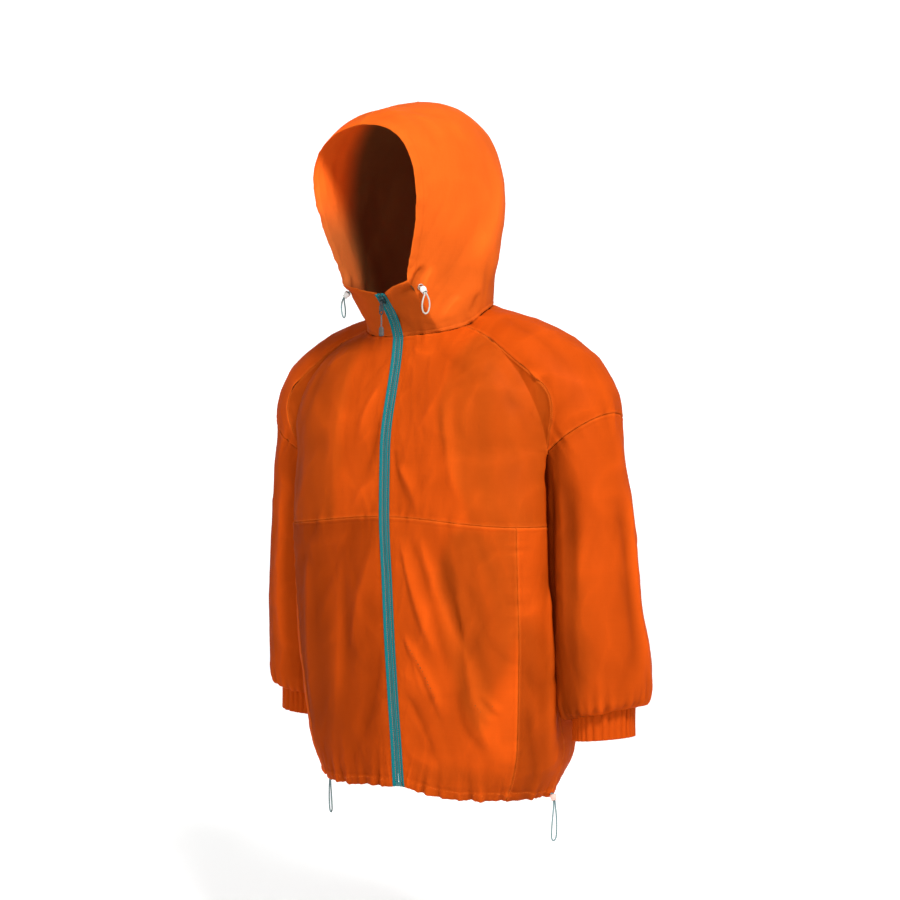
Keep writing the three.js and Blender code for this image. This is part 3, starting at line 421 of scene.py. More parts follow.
def armhole_ring(share):
    """The ring at armhole level, which dips under the arm along the armhole."""
    front, angle = ARMHOLE["share"], ARMHOLE["angle"]
    share = np.asarray(share, float)
    under = body_rim(lerp(angle, 360 - angle, (share - front) / (1 - 2 * front)))
    back = share > 0.5
    part = np.minimum(np.where(back, 1 - share, share) / front, 1.0)
    crease = body_rim(np.where(back, 360 - angle, angle))
    level = lerp(CHEST_LEVEL, crease[..., 2], smooth(part))
    free = ring_point(share, level)
    at_crease = ring_point(np.where(back, 1 - front, front), crease[..., 2])
    beside = free + (crease - at_crease) * smooth(part * 1.6 - 0.6)[..., None]
    inside = ((share > front) & (share < 1 - front))[..., None]
    return np.where(inside, under, beside)


def lower_skin(share, level):
    """The body below the armhole level."""
    top = armhole_ring(share)
    below = top[..., 2] - level
    soft = 8.0
    lower = clear_of_sleeve(ring_point(share, level), SLEEVE_CLEARANCE, soft)
    start = clear_of_sleeve(ring_point(share, top[..., 2]), SLEEVE_CLEARANCE, soft)
    fade = np.maximum(0.0, 1 - below / 110) ** 2
    return lower + (top - start) * fade[..., None]


def neck_seam(angle):
    turn = np.radians(angle)
    depth = (NECK["front"] + NECK["back"]) / 2
    return point(NECK["half_width"] * np.sin(turn),
                 -(NECK["front"] - depth) - depth * np.cos(turn), read(NECK_LEVELS, angle)["level"])


def spoke(start, end, arch, squareness, fullness, share):
    """One spoke of the upper skin, from the neck seam (0) to the armhole level (1)."""
    turn = (math.pi / 2) * share
    reach = np.sin(turn) ** lerp(0.95, 0.78, squareness)
    out = lerp(lerp(share, smooth(share), 0.7), reach, arch)
    drop = lerp(share, lerp(1 - np.cos(turn), reach, SHOULDER["slope"]), arch)
    return point(lerp(start[..., 0], end[..., 0], out),
                 lerp(start[..., 1], end[..., 1], out) + fullness * np.sin(math.pi * share),
                 lerp(start[..., 2], end[..., 2], drop))


def chest_skin(part, share):
    near = smooth(part)
    neck = neck_seam(lerp(NECK_START, SEAM_ANGLE, part))
    return spoke(neck, armhole_ring(part * ARMHOLE["share"]), 0.9 * near, near,
                 -SHOULDER["front_fullness"] * near, share)


def shoulder_skin(part, share):
    neck = neck_seam(lerp(SEAM_ANGLE, BACK_ANGLE, part))
    rim = body_rim(lerp(ARMHOLE["angle"], -ARMHOLE["angle"], part))
    facing = np.cos(math.pi * part)
    return spoke(neck, rim, 0.9 + 0.1 * np.sin(math.pi * part), facing ** 2,
                 -SHOULDER["front_fullness"] * facing, share)


def upper_back_skin(part, share):
    near = 1 - smooth(part)
    rim = armhole_ring(lerp(1 - ARMHOLE["share"], 1.0, part))
    return spoke(neck_seam(lerp(BACK_ANGLE, 180, part)), rim, 0.45 + 0.45 * near, near,
                 SHOULDER["front_fullness"] * near, share)


# ---- the skin of the hood ----


def hood_seam(share):
    """The hood's centre line, from the nape (0) to the brim (1): how far back and how high."""
    angle = lerp(HOOD_PROFILE["at"][0], HOOD_PROFILE["at"][-1], share)
    reach = read(HOOD_PROFILE, angle)["reach"]
    turn = np.radians(angle)
    return CHIN["y"] + reach * np.cos(turn), CHIN["z"] + reach * np.sin(turn)


def corner_line(share):
    """The hood's front corner, from the neck seam up to where its opening starts."""
    foot = neck_seam(CORNER_ANGLE)
    line = foot + (HOOD_CORNER - foot) * np.asarray(share)[..., None]
    line[..., 1] += 5 * np.sin(math.pi * share)
    return line


def hood_ring(up, across):
    """One ring of the hood, from the corner line (across 0) to the centre seam (across 1)."""
    start = corner_line(up)
    end_y, end_z = hood_seam(up)
    ring = read(HOOD_RINGS, up)
    wide = 0.8 * ring["widest"]
    part = np.clip(across / wide, 0, 1)
    turn = (math.pi / 2) * np.clip((across - wide) / (1 - wide), 0, 1)
    power = 2 / ring["roundness"]
    first = across < wide
    crown = 1 - ring["widest"]
    run = np.where(first, ring["widest"] * part, ring["widest"] + crown * np.sin(turn) ** power)
    rise = start[..., 0] + (ring["half_width"] - start[..., 0]) * np.sin((math.pi / 2) * part) ** 1.3
    x = np.where(first, rise, ring["half_width"] * np.abs(np.cos(turn)) ** power)
    bow = ring["bow"] * np.sin(math.pi * run ** 2)
    return point(x, lerp(start[..., 1], end_y, run) - bow, lerp(start[..., 2], end_z, run))


def hood_skin(across, up):
    across, up = np.broadcast_arrays(np.asarray(across, float), np.asarray(up, float))
    seam = neck_seam(lerp(CORNER_ANGLE, 180, across))
    settle = np.maximum(0.0, 1 - up / 0.35) ** 2
    return hood_ring(up, across) + (seam - hood_ring(0 * up, across)) * settle[..., None]


def stand_skin(across, up):
    """The stand below the chin, from the zip (across 0) to the corner line (across 1)."""
    foot = neck_seam(lerp(NECK_START, CORNER_ANGLE, across))
    fullness = COLLAR_TOP["fullness"] * np.sin(math.pi * across)
    head = point(lerp(ZIP_HALF, HOOD_CORNER[0], across),
                 lerp(COLLAR_TOP["y"], HOOD_CORNER[1], across) - fullness,
                 lerp(COLLAR_TOP["z"], HOOD_CORNER[2], across))
    skin = foot + (head - foot) * np.asarray(up)[..., None]
    skin[..., 1] += lerp(7.0, 5.0, across) * np.sin(math.pi * up)
    return skin


# ---- folds, waves and twist of the body ----


def beside(line, across, up):
    """How far along a fold's or crease's line places are, as a share, and how far off to its side."""
    dx, dz = line.across2 - line.across1, line.z2 - line.z1
    x, z = across - line.across1, up - line.z1
    return (x * dx + z * dz) / (dx * dx + dz * dz), (x * dz - z * dx) / math.hypot(dx, dz)


def fold_height(points):
    """Height of the broad folds, which die out at both ends."""
    height = np.zeros(points.shape[:-1])
    for fold in FOLDS:
        part, away = beside(fold, points[..., 0], points[..., 2])
        shown = ((points[..., 1] < 0) == (fold.view == "front")) & (part > 0) & (part < 1)
        height += shown * fold.depth * np.exp(-((away / fold.width) ** 2)) * np.sin(math.pi * part)
    return height


def hem_wave(points):
    turn = np.arctan2(points[..., 1], points[..., 0])
    near = np.maximum(0.0, 1 - (points[..., 2] - HEM_LEVEL) / 60)
    return near ** 2 * (2.2 * np.sin(19 * turn + 0.6) + 1.2 * np.sin(31 * turn))


def dress(points, side):
    """Places points of the left body on one side of the jacket: mirrored, folded and twisted."""
    placed = mirror(points, side)
    height = fold_height(placed) * smooth((np.abs(placed[..., 1]) - 45) / 45) + hem_wave(placed)
    outward = unit(point(placed[..., 0] * 0.35, placed[..., 1], 0.0))
    placed = placed + outward * height[..., None]
    turn = np.radians(read(TORSO, placed[..., 2])["turn"])
    x, y = placed[..., 0], placed[..., 1]
    return point(x * np.cos(turn) - y * np.sin(turn), x * np.sin(turn) + y * np.cos(turn), placed[..., 2])


def dress_lower(share, level, side):
    """A place on the finished lower body, which keeps off the sleeve more and more below the armpit."""
    share, level = np.broadcast_arrays(np.asarray(share, float), np.asarray(level, float))
    below = armhole_ring(share)[..., 2] - level
    placed = dress(lower_skin(share, level), side)
    least = 2 * SEAM_GAP + 1.4 * smooth(below / 12) + 1.5 * smooth(below / 60)
    cleared = mirror(clear_of_sleeve(mirror(placed, side), least, 0.0), side)
    return np.where((below <= 0)[..., None], placed, cleared)


# A level is read by share and side, because the hem isn't the same on both sides.

def chest_seam_level(share, side):
    return CHEST_SEAM - CHEST_SEAM_DROP * smooth(share / POCKET_SHARE)


def hem_level(share, side):
    right = HEM_RISE["right"] * smooth(share / 0.12) * smooth((0.62 - share) / 0.2) if side < 0 else 0.0
    return HEM_LEVEL + HEM_RISE["zip"] * np.maximum(0.0, 1 - share / 0.22) ** 2 + right


def ring_level(share, side):
    return armhole_ring(share)[..., 2]


def zip_edge(along, side):
    """The front opening's edge on one side, from the hem (0) to the top of the stand (1)."""
    along = np.asarray(along, float)
    stages = (0.0, 0.52, 0.7, 0.915, 1.0)
    parts = [(along - low) / (high - low) for low, high in zip(stages, stages[1:])]
    zero = 0 * along
    forms = (
        dress_lower(zero, lerp(hem_level(0.0, side), CHEST_SEAM, np.clip(parts[0], 0, 1)), side),
        dress_lower(zero, lerp(CHEST_SEAM, CHEST_LEVEL, np.clip(parts[1], 0, 1)), side),
        dress(chest_skin(zero, 1 - np.clip(parts[2], 0, 1)), side),
        mirror(stand_skin(zero, np.clip(parts[3], 0, 1)), side),
    )
    stage = np.clip(np.searchsorted(stages, along, side="left") - 1, 0, 3)
    return np.choose(stage[..., None], forms)


def zip_point(along, across):
    right, left = zip_edge(along, -1.0), zip_edge(along, 1.0)
    return right + (left - right) * np.asarray(across)[..., None]


# ---- seams: where they run, and how the cloth draws up along them ----


class Relief(NamedTuple):
    """How cloth stands along a seam: sink at the stitches, gathers that die out, a raised edge, and
    how far from the seam the cloth is held flat."""
    sink: float
    pucker: float
    reach: float
    welt: float
    width: float
    calm: float = 0.0


PLAIN_SEAM = Relief(-0.45, 0.45, 9.0, 0.45, 5.0)
PUCKERED_SEAM = Relief(-0.5, 0.95, 12.0, 0.5, 5.5)
GATHERED_SEAM = Relief(-0.6, 1.5, 17.0, 0.5, 5.0)
ZIP_SEAM = Relief(-0.2, 0.6, 12.0, 0.3, 4.5, 7.0)
TUNNEL = Relief(-0.2, 0.7, 12.0, 0.35, 15.0)
HEM_TUNNEL = Relief(-0.3, 3.0, 27.0, 0.9, 15.0)


def traced(at, count=260):
    """The places of a line, from a form that gives them for shares of its length."""
    return at(np.linspace(0.0, 1.0, count))


def seam_shift(share):
    """How far the front shoulder seam lies over the shoulder, to run straight from neck to armhole."""
    return 0.125 * np.sin(math.pi * share ** 2) ** 1.6


def seam_paths(side):
    """The lines of every seam on one side of the jacket, and how the cloth stands along each."""
    front, angle = ARMHOLE["share"], ARMHOLE["angle"]

    def round_body(start, end, level, count=260):
        share = lambda v: lerp(start, end, v)
        return traced(lambda v: dress_lower(share(v), level(share(v), side), side), count)

    def down_body(share, top):
        return traced(lambda v: dress_lower(share, lerp(top(share, side), hem_level(share, side), v), side))

    return {
        "neck": (traced(lambda v: mirror(neck_seam(lerp(NECK_START, 180, v)), side)), PUCKERED_SEAM),
        "shoulder": (traced(lambda v: dress(shoulder_skin(seam_shift(v), v), side)), PLAIN_SEAM),
        "chest": (round_body(0, 0.5, chest_seam_level), PUCKERED_SEAM),
        "pocket": (down_body(POCKET_SHARE, chest_seam_level), PUCKERED_SEAM),
        "side": (down_body(0.5, ring_level), PLAIN_SEAM),
        "armhole": (traced(lambda v: mirror(armhole(lerp(angle, -angle, v)), side)), GATHERED_SEAM),
        "yoke": (round_body(1 - front, 1, ring_level), PLAIN_SEAM),
        "armpit": (round_body(front, 1 - front, ring_level), PLAIN_SEAM),
        "hem": (round_body(0, 1, hem_level, 500), HEM_TUNNEL),
        "zip": (traced(lambda v: zip_edge(v, side), 400), ZIP_SEAM),
        "brim": (traced(lambda v: mirror(hood_skin(v, 1.0), side)), TUNNEL),
        "stand_top": (traced(lambda v: mirror(stand_skin(v, 1 + 0 * v), side), 80), PLAIN_SEAM),
        "crown": (traced(lambda v: mirror(hood_skin(1.0, v), side)), PLAIN_SEAM),
    }


SEAM_LINES = {word: seam_paths(side) for word, side in SIDES}


def nearest(points, path, reach):
    """Which points lie within reach of a path, the nearest place on it for each, and how far off it is."""
    tree = KDTree(len(path))
    for i, place in enumerate(path):
        tree.insert(place, i)
    tree.balance()
    low, high = path.min(axis=0) - reach, path.max(axis=0) + reach
    inside = np.flatnonzero(np.all((points > low) & (points < high), axis=1))
    found = [tree.find(place) for place in points[inside]]
    return inside, np.array([hit[1] for hit in found], int), np.array([hit[2] for hit in found], float)


def seam_relief(points, normals, seams):
    """Height of the cloth near its seams, how near each point is to one (1 on the line), and how free
    it is of a stiff one (1 out in the cloth)."""
    height, near, free = np.zeros(len(points)), np.zeros(len(points)), np.ones(len(points))
    for path, relief in seams:
        inside, index, distance = nearest(points, path, max(relief.reach * 2.6, relief.width * 1.6))
        run = run_of(path)[index]
        wave = (0.5 * np.sin(run / 1.9 + 1.3 * np.sin(run / 17))
                + 0.7 * np.sin(run / 3.4 + 2.1 * np.sin(run / 29))
                + 0.5 * np.sin(run / 6.1 + 0.7))
        uneven = 0.55 + 0.45 * np.sin(run / 41 + 1.7) * np.sin(run / 23)
        line = np.exp(-((distance / 1.4) ** 2))
        rise = relief.sink * line + relief.pucker * wave * uneven * np.exp(-distance / relief.reach)
        across = np.clip(distance / relief.width, 0, 1)
        rise += relief.welt * (1 - np.abs(2 * across - 1) ** 3) - 0.3 * relief.welt * np.exp(
            -(((distance - relief.width) / 1.5) ** 2))
        height[inside] += rise
        near[inside] = np.maximum(near[inside], line)
        if relief.calm:
            held = smooth((distance - 0.4 * relief.calm) / relief.calm)
            height[inside] *= lerp(0.25, 1.0, held)
            free[inside] *= held
    return height, near, free


# ---- creases, tints of painted shade and light, and the weave of small wrinkles ----

VIEW_AXES = {"front": (0, 1, -1.0), "back": (0, 1, 1.0), "left": (1, 0, 1.0), "right": (1, 0, -1.0)}


def seen_from(points, normals, view):
    """The places of points in a view, across and up, and how squarely the cloth faces it."""
    across, axis, sign = VIEW_AXES[view]
    return points[:, across], points[:, 2], smooth(2.6 * sign * normals[:, axis] + 0.3)


def marks_on(piece, marks):
    """The creases or tints that lie on a piece."""
    return [mark for mark in marks if piece.startswith(tuple(mark.pieces.split()))]


def crease_height(points, normals, piece):
    """Height of the finer creases: a narrow crest with a trough along one flank."""
    height = np.zeros(len(points))
    for crease in marks_on(piece, CREASES):
        across, up, facing = seen_from(points, normals, crease.view)
        part, away = beside(crease, across, up)
        part = np.clip(part, 0, 1)
        width = (2 + crease.width) * lerp(0.75, 1.1, part)
        flank = (away - crease.bend * np.sin(math.pi * part)) / width
        ends = smooth(part * 4) * smooth((1 - part) * 3)
        crest = np.exp(-np.abs(flank) ** 1.5)
        trough = crease.lean * np.tanh(2 * flank) * np.exp(-((np.abs(flank) - 1.3) ** 2))
        height += crease.depth * facing * ends * (crest - 0.6 * trough)
    return height


def depth_inside(across, up, outline):
    """How deep inside an outline places lie, below 0 outside it."""
    corners = np.array(outline, float)
    inside = np.zeros(len(across), bool)
    distance = np.full(len(across), np.inf)
    for (x1, z1), (x2, z2) in zip(corners, np.roll(corners, -1, axis=0)):
        crosses = (z1 > up) != (z2 > up)
        with np.errstate(divide="ignore", invalid="ignore"):
            inside ^= crosses & (across < (x2 - x1) * (up - z1) / (z2 - z1) + x1)
        run = np.clip(((across - x1) * (x2 - x1) + (up - z1) * (z2 - z1))
                      / ((x2 - x1) ** 2 + (z2 - z1) ** 2), 0, 1)
        distance = np.minimum(distance, np.hypot(across - lerp(x1, x2, run), up - lerp(z1, z2, run)))
    return np.where(inside, distance, -distance)


def tint_of(points, normals, piece):
    """How much painted shade of the dark inside and of more layers shows through the cloth, and how much
    lighter or darker it is painted, as painted light or shade.
    """
    layers, tone = np.zeros(len(points)), np.ones(len(points))
    for tint in marks_on(piece, TINTS):
        across, up, facing = seen_from(points, normals, tint.view)
        streaks = (0.82 + 0.18 * np.sin(across / 7 + up / 31 + 2 * np.sin(up / 53))
                   * np.sin(across / 17 + 1.2))
        uneven_across = across + 4 * np.sin(up / 33 + 0.7) + 2 * np.sin(up / 14 + across / 19)
        uneven_up = up + 5 * np.sin(across / 27 + 0.4) + 3 * np.sin(across / 11 + up / 23)
        depth = depth_inside(uneven_across, uneven_up, tint.outline)
        soft = smooth(0.5 + depth / (2.2 * tint.feather))
        layers = np.maximum(layers, tint.layers * facing * soft * streaks)
        tone *= 1 + tint.tone * facing * soft
    return layers, tone


def plane_waves(random, points, pitches, slope):
    """The phase of waves with a random heading round the jacket, in turns."""
    pitch = random.uniform(*pitches)
    heading = random.uniform(0, 2 * math.pi)
    rise = random.uniform(-slope, slope)
    way = np.array([math.cos(heading), math.sin(heading), rise]) / pitch
    return points @ way + random.uniform(0, 1)


WRINKLES = (((70, 150), 0.9), ((26, 52), 0.34))      # pitches and weight of the broad and the fine ones


def wrinkles(points, steep, height):
    """Soft folds with narrow crests, which run mostly up the cloth, start, stop and lean."""
    random = np.random.default_rng(11)
    total = np.zeros(len(points))
    for layer in range(16):
        pitches, weight = WRINKLES[layer % 2]
        hollow = layer % 4 > 1
        phase = plane_waves(random, points, pitches, steep)
        wander = (0.24 * np.sin(2 * math.pi * plane_waves(random, points, (260, 420), 2.0))
                  + 0.05 * np.sin(2 * math.pi * plane_waves(random, points, (90, 150), 2.0)))
        there = smooth(0.35 + 0.75 * np.sin(2 * math.pi * plane_waves(random, points, (150, 330), 2.4)))
        crest = (1 - np.abs(np.sin(math.pi * (phase + wander)))) ** 3
        total += weight * (-1 if hollow else 1) * there * (crest - 0.2)
    return height * total


# ---- meshes of cloth ----


def settings():
    scene = bpy.context.scene
    return scene.jacket_cloth, scene.jacket_trim, scene.jacket_stage


def grid(at, width, height):
    """Points of a patch of cloth of about that width and height, closer together along its edges."""
    spacing = settings()[0].spacing / MM
    u = np.linspace(0, 1, max(3, math.ceil(width / spacing)) + 1)
    v = np.linspace(0, 1, max(3, math.ceil(height / spacing)) + 1)
    closer = lambda share: share - 0.5 * np.sin(2 * math.pi * share) / (2 * math.pi)
    return at(*np.meshgrid(closer(u), closer(v)))


def facing_out(at, side):
    """A form read from its other end on the right side, so that its faces look outward there too."""
    return at if side > 0 else (lambda u, v: at(1 - u, v))


def lower_patch(span, top, bottom, side):
    """The form of a patch of the lower body, between two shares and two levels."""
    def at(u, v):
        share = lerp(*span, u)
        return dress_lower(share, lerp(bottom(share, side), top(share, side), v), side)
    return at


def weld(grids, side=1.0):
    """Joins grids that share edges into one sheet of points and four-sided faces that face outward."""
    points = np.concatenate([patch.reshape(-1, 3) for patch in grids])
    keys = np.round(points / 0.02).astype(np.int64)
    _, first, index = np.unique(keys, axis=0, return_index=True, return_inverse=True)
    faces, start = [], 0
    for patch in grids:
        rows, columns = patch.shape[:2]
        at = start + np.arange(rows * columns).reshape(rows, columns)
        faces.append(np.stack([at[:-1, :-1], at[:-1, 1:], at[1:, 1:], at[1:, :-1]], axis=-1).reshape(-1, 4))
        start += rows * columns
    faces = index.reshape(-1)[np.concatenate(faces)]
    if side < 0:
        faces = faces[:, ::-1]
    return points[first], faces


def face_crosses(points, faces):
    """Cross products of the faces' diagonals: each stands on its face and is twice as long as its area."""
    corners = [points[faces[:, i]] for i in range(4)]
    return np.cross(corners[2] - corners[0], corners[3] - corners[1])


def normals_of(points, faces):
    crosses = face_crosses(points, faces)
    normals = np.zeros_like(points)
    for i in range(4):
        np.add.at(normals, faces[:, i], crosses)
    return unit(normals)


def rim_of(faces, count):
    """Edges of a sheet that only one face has, in that face's direction."""
    edges = np.concatenate([faces[:, [0, 1]], faces[:, [1, 2]], faces[:, [2, 3]], faces[:, [3, 0]]])
    edges = edges[edges[:, 0] != edges[:, 1]]
    there = edges[:, 0].astype(np.int64) * count + edges[:, 1]
    back = edges[:, 1].astype(np.int64) * count + edges[:, 0]
    return edges[~np.isin(there, back)]


def ring_faces(rings, count, closed=False):
    """Four-sided faces between rings that each have that count of points."""
    return [[i * count + k, i * count + (k + 1) % count, (i + 1) % rings * count + (k + 1) % count,
             (i + 1) % rings * count + k]
            for i in range(rings if closed else rings - 1) for k in range(count)]


def add_mesh(name, points, faces, finish, attributes=None):
    """A mesh object from points in millimetres. Faces with a corner twice lose it."""
    mesh = bpy.data.meshes.new(name)
    faces = faces if isinstance(faces, list) else faces.tolist()
    faces = [[corner for i, corner in enumerate(face) if corner != face[i - 1]] for face in faces]
    mesh.from_pydata((points * MM).tolist(), [], [face for face in faces if len(face) > 2])
    for label, values in (attributes or {}).items():
        mesh.attributes.new(label, "FLOAT", "POINT").data.foreach_set("value", values.astype(np.float32))
    mesh.validate()
    mesh.polygons.foreach_set("use_smooth", [True] * len(mesh.polygons))
    mesh.materials.append(finish)
    piece = bpy.data.objects.new(name, mesh)
    bpy.context.scene.collection.objects.link(piece)
    return piece


def enter(piece, slot, *nodes, body=JACKET):
    """Gives a piece its body and hides the solids that it stands for. Its slot is not used."""
    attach(piece, body)
    if nodes:
        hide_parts(*nodes)
    return piece


def shell(name, points, normals, faces, thickness, finish, attributes=None):
    """A sheet with a thickness, grown inward. Each attribute has the values of its outer and inner face."""
    count = len(points)
    rim = rim_of(faces, count)
    walls = np.stack([rim[:, 1], rim[:, 0], rim[:, 0] + count, rim[:, 1] + count], axis=-1)
    every = np.concatenate([faces, faces[:, ::-1] + count, walls])
    both = {label: np.concatenate(values) for label, values in (attributes or {}).items()}
    return add_mesh(name, np.concatenate([points, points - normals * thickness]), every, finish, both)


OUTER = []      # outer faces of the finished cloth, which the stitches lie on


def seams_of(words, names):
    return [SEAM_LINES[word][name] for word in words.split() for name in names.split()]


BEND = {"reach": 26.0, "strength": 0.6, "rounds": 160}


def eased(points, faces, path):
    """Rounds the form off where two patches meet at an angle along a path. Its rim stays where it is."""
    inside, _, distance = nearest(points, path, 2 * BEND["reach"])
    share = np.zeros(len(points))
    share[inside] = BEND["strength"] * np.exp(-((distance / BEND["reach"]) ** 2))
    share[np.unique(rim_of(faces, len(points)))] = 0.0
    out = normals_of(points, faces)
    here = np.concatenate([faces[:, i] for i in (0, 1, 2, 3, 1, 2, 3, 0)])
    there = np.concatenate([faces[:, i] for i in (1, 2, 3, 0, 0, 1, 2, 3)])
    near = share[here] > 0
    here, there = here[near], there[near]
    count = np.maximum(1, np.bincount(here, minlength=len(points)))
    for _ in range(BEND["rounds"]):
        way = points[there] - points[here]
        rise = np.bincount(here, weights=(way * out[here]).sum(axis=1), minlength=len(points)) / count
        points = points + out * (rise * share)[:, None]
    return points


HOLLOW = 3.0            # height at which a crest or a hollow has its full shade
INNER_LIGHT = 0.8       # how much lighter the inner face is painted where light reaches the hood's inside: painted light


def sew(name, grids, seams, finish, flat, side=1.0, nodes=(), slot="shell_cloth", steep=0.35, wrinkle=1.3,
        extra=None, inner=None, bends=()):
    """Makes one piece of cloth: its sheet with seams, creases and wrinkles, riding on the jacket.

    Flat is the size of its cut and is not used. Nodes are the solids that it stands for, where these aren't
    just its own. Steep and wrinkle are the wrinkles' lean and height, extra adds a height of the piece's own,
    inner says how much of the inside colour each place has, and bends are where the form is rounded off.
    """
    cloth = settings()[0]
    form, faces = weld(grids, side)
    for path in bends:
        form = eased(form, faces, path)
    normals = normals_of(form, faces)
    relief, near, free = seam_relief(form, normals, seams)
    folds = crease_height(form, normals, name) * cloth.crease_depth + wrinkles(form, steep, wrinkle)
    height = relief + folds * free
    if extra is not None:
        height += extra(form)
    sheet = form + normals * height[:, None]
    layers, tone = tint_of(form, normals, name)
    # Painted shade and light: crests of creases and seams are painted lighter and hollows darker, and a piece
    # set back, such as the pocket bag, darker.
    tone *= 1 + cloth.crease_shade * np.clip(height / HOLLOW, -1, 1)
    inside = np.ones(len(form)) if inner is None else inner(form)
    piece = shell(f"{name}_cloth", sheet, normals_of(sheet, faces), faces, cloth.thickness / MM, finish, {
        "layers": (layers, layers),
        "near_seam": (near, near),
        # Painted light: the inner face is painted lighter where the hood's inside is lit.
        "tone": (tone, tone * (1 + INNER_LIGHT * (1 - inside))),
        "inside": (0 * inside, inside),
    })
    OUTER.append((sheet, faces))
    enter(piece, slot, *(nodes or (name,)))
    area = 0.5 * np.linalg.norm(face_crosses(form, faces), axis=1).sum()


# ---- finishes ----


class Value:
    """A socket that reads like a number: sums and products of values become Math nodes."""

    def __init__(self, finish, socket):
        self.finish = finish
        self.socket = socket

    def _math(self, operation, *values):
        return self.finish.node("ShaderNodeMath", dict(enumerate(values)), operation=operation)

    def __add__(self, other):
        return self._math("ADD", self, other)

    def __sub__(self, other):
        return self._math("SUBTRACT", self, other)

    def __rsub__(self, other):
        return self._math("SUBTRACT", other, self)

    def __mul__(self, other):
        return self._math("MULTIPLY", self, other)

    __radd__ = __add__
    __rmul__ = __mul__

    def sine(self):
        return self._math("SINE", self)

    def clamped(self):
        return self._math("MAXIMUM", self._math("MINIMUM", self, 1.0), 0.0)


class Finish:
    """One material and the nodes it is made of."""

    def __init__(self, name):
        self.material = bpy.data.materials.new(name)
        self.material.use_nodes = True
        self.tree = self.material.node_tree
        self.tree.nodes.clear()
        self.place = self.node("ShaderNodeTexCoord", output="Object")

    def node(self, kind, inputs=None, output=0, **options):
        """Adds a node, sets its options, then its sockets, and gives one of its outputs."""
        made = self.tree.nodes.new(kind)
        for name, option in options.items():
            setattr(made, name, option)
        for key, value in (inputs or {}).items():
            if isinstance(value, Value):
                self.tree.links.new(value.socket, made.inputs[key])
            else:
                made.inputs[key].default_value = value
        return Value(self, made.outputs[output]) if len(made.outputs) else None

    def attribute(self, name):
        return self.node("ShaderNodeAttribute", output="Fac", attribute_name=name)

    def xyz(self):
        split = self.node("ShaderNodeSeparateXYZ", {0: self.place})
        return [Value(self, socket) for socket in split.socket.node.outputs]

    def noise(self, fineness, detail=3.0):
        """Soft noise: its fineness is one number, or one for each axis."""
        fineness = fineness if isinstance(fineness, tuple) else (fineness,) * 3
        scaled = self.node("ShaderNodeVectorMath", {0: self.place, 1: fineness}, operation="MULTIPLY")
        return self.node("ShaderNodeTexNoise", {"Vector": scaled, "Scale": 1.0, "Detail": detail,
                                                "Roughness": 0.55})

    def mix(self, share, first, second):
        """A colour between two colours."""
        return self.node("ShaderNodeMix", {0: share, 6: first, 7: second}, output=2, data_type="RGBA")

    def tone(self, colour, factor):
        """A colour made lighter or darker by a factor."""
        return self.node("ShaderNodeVectorMath", {0: colour, "Scale": factor}, operation="SCALE")

    def bump(self, height, strength, distance):
        return self.node("ShaderNodeBump", {"Height": height, "Strength": strength, "Distance": distance})

    def principled(self, **sockets):
        return self.node("ShaderNodeBsdfPrincipled",
                         {name.replace("_", " "): value for name, value in sockets.items()})

    def done(self, surface):
        self.node("ShaderNodeOutputMaterial", {"Surface": surface})
        return self.material

    def opaque(self, **sockets):
        """The finished material of an opaque surface."""
        return self.done(self.principled(**sockets))


def opaque(colour):
    return (*tuple(colour)[:3], 1.0)


def lighter(colour, share, lift):
    return opaque([min(1, c * share + lift) for c in colour])


def nylon(name, colour, cloth, painted_inside_shade):
    """Thin woven nylon: fine threads, painted darker where the dark inside and more layers show through it
    (painted shade), a faint painted glow, a little see-through.
    """
    finish = Finish(name)
    x, y, z = finish.xyz()
    clouds = finish.noise((9.0, 9.0, 6.0), detail=2.0)
    slubs = finish.noise((26.0, 26.0, 900.0), detail=2.0)
    columns = finish.noise((620.0, 620.0, 22.0), detail=2.0)
    threads = (z * 9800.0).sine() * 0.5 + ((x + y) * 8200.0).sine() * 0.5
    inside = finish.attribute("inside")
    seen = (finish.attribute("layers") + clouds * 0.16 - 0.08).clamped()
    # Painted shade: the cloth turns to the layered shade colour where the dark inside and more layers show
    # through.
    base = finish.mix(seen, opaque(colour), opaque(cloth.layered_shade_colour))
    base = finish.mix(finish.attribute("near_seam") * 0.4, base, opaque(cloth.seam_colour))
    # Painted shade: the inner face takes the dark inside shade colour where the hood's inside lies in shade.
    base = finish.mix(inside, base, opaque(painted_inside_shade))
    threadwise = 0.80 + clouds * 0.2 + slubs * 0.12 + columns * 0.06
    # Painted shade and light: the tone attribute carries the tints, the lighter crests and darker hollows.
    # Threadwise is the cloth's own uneven tone.
    base = finish.tone(base, threadwise * finish.attribute("tone"))
    roughness = (0.46 + slubs * 0.12 + clouds * 0.1).clamped()
    cockle = finish.noise((60.0, 60.0, 34.0), detail=4.0)
    weave = finish.bump(threads * 0.12 + slubs * 0.6 + columns * 0.3, 0.25, 0.0004)
    normal = finish.node("ShaderNodeBump", {"Height": cockle, "Strength": 0.35, "Distance": 0.0016,
                                            "Normal": weave})
    # Painted light: a faint emission that stands in for light that thin nylon passes on from fold to fold, so
    # hollows and gaps glow a little. There is none on inner faces in shade.
    glow_emission_colour = finish.mix(inside, opaque(cloth.glow_colour), opaque((0.0, 0.0, 0.0)))
    front = finish.principled(Base_Color=base, Roughness=roughness, Normal=normal, IOR=cloth.gloss,
                              Emission_Color=glow_emission_colour, Emission_Strength=cloth.scatter)
    through = finish.node("ShaderNodeBsdfTranslucent", {"Color": opaque(cloth.glow_colour), "Normal": normal})
    share = (1 - inside * 0.8) * cloth.see_through
    return finish.done(finish.node("ShaderNodeMixShader", {0: share, 1: front, 2: through}))


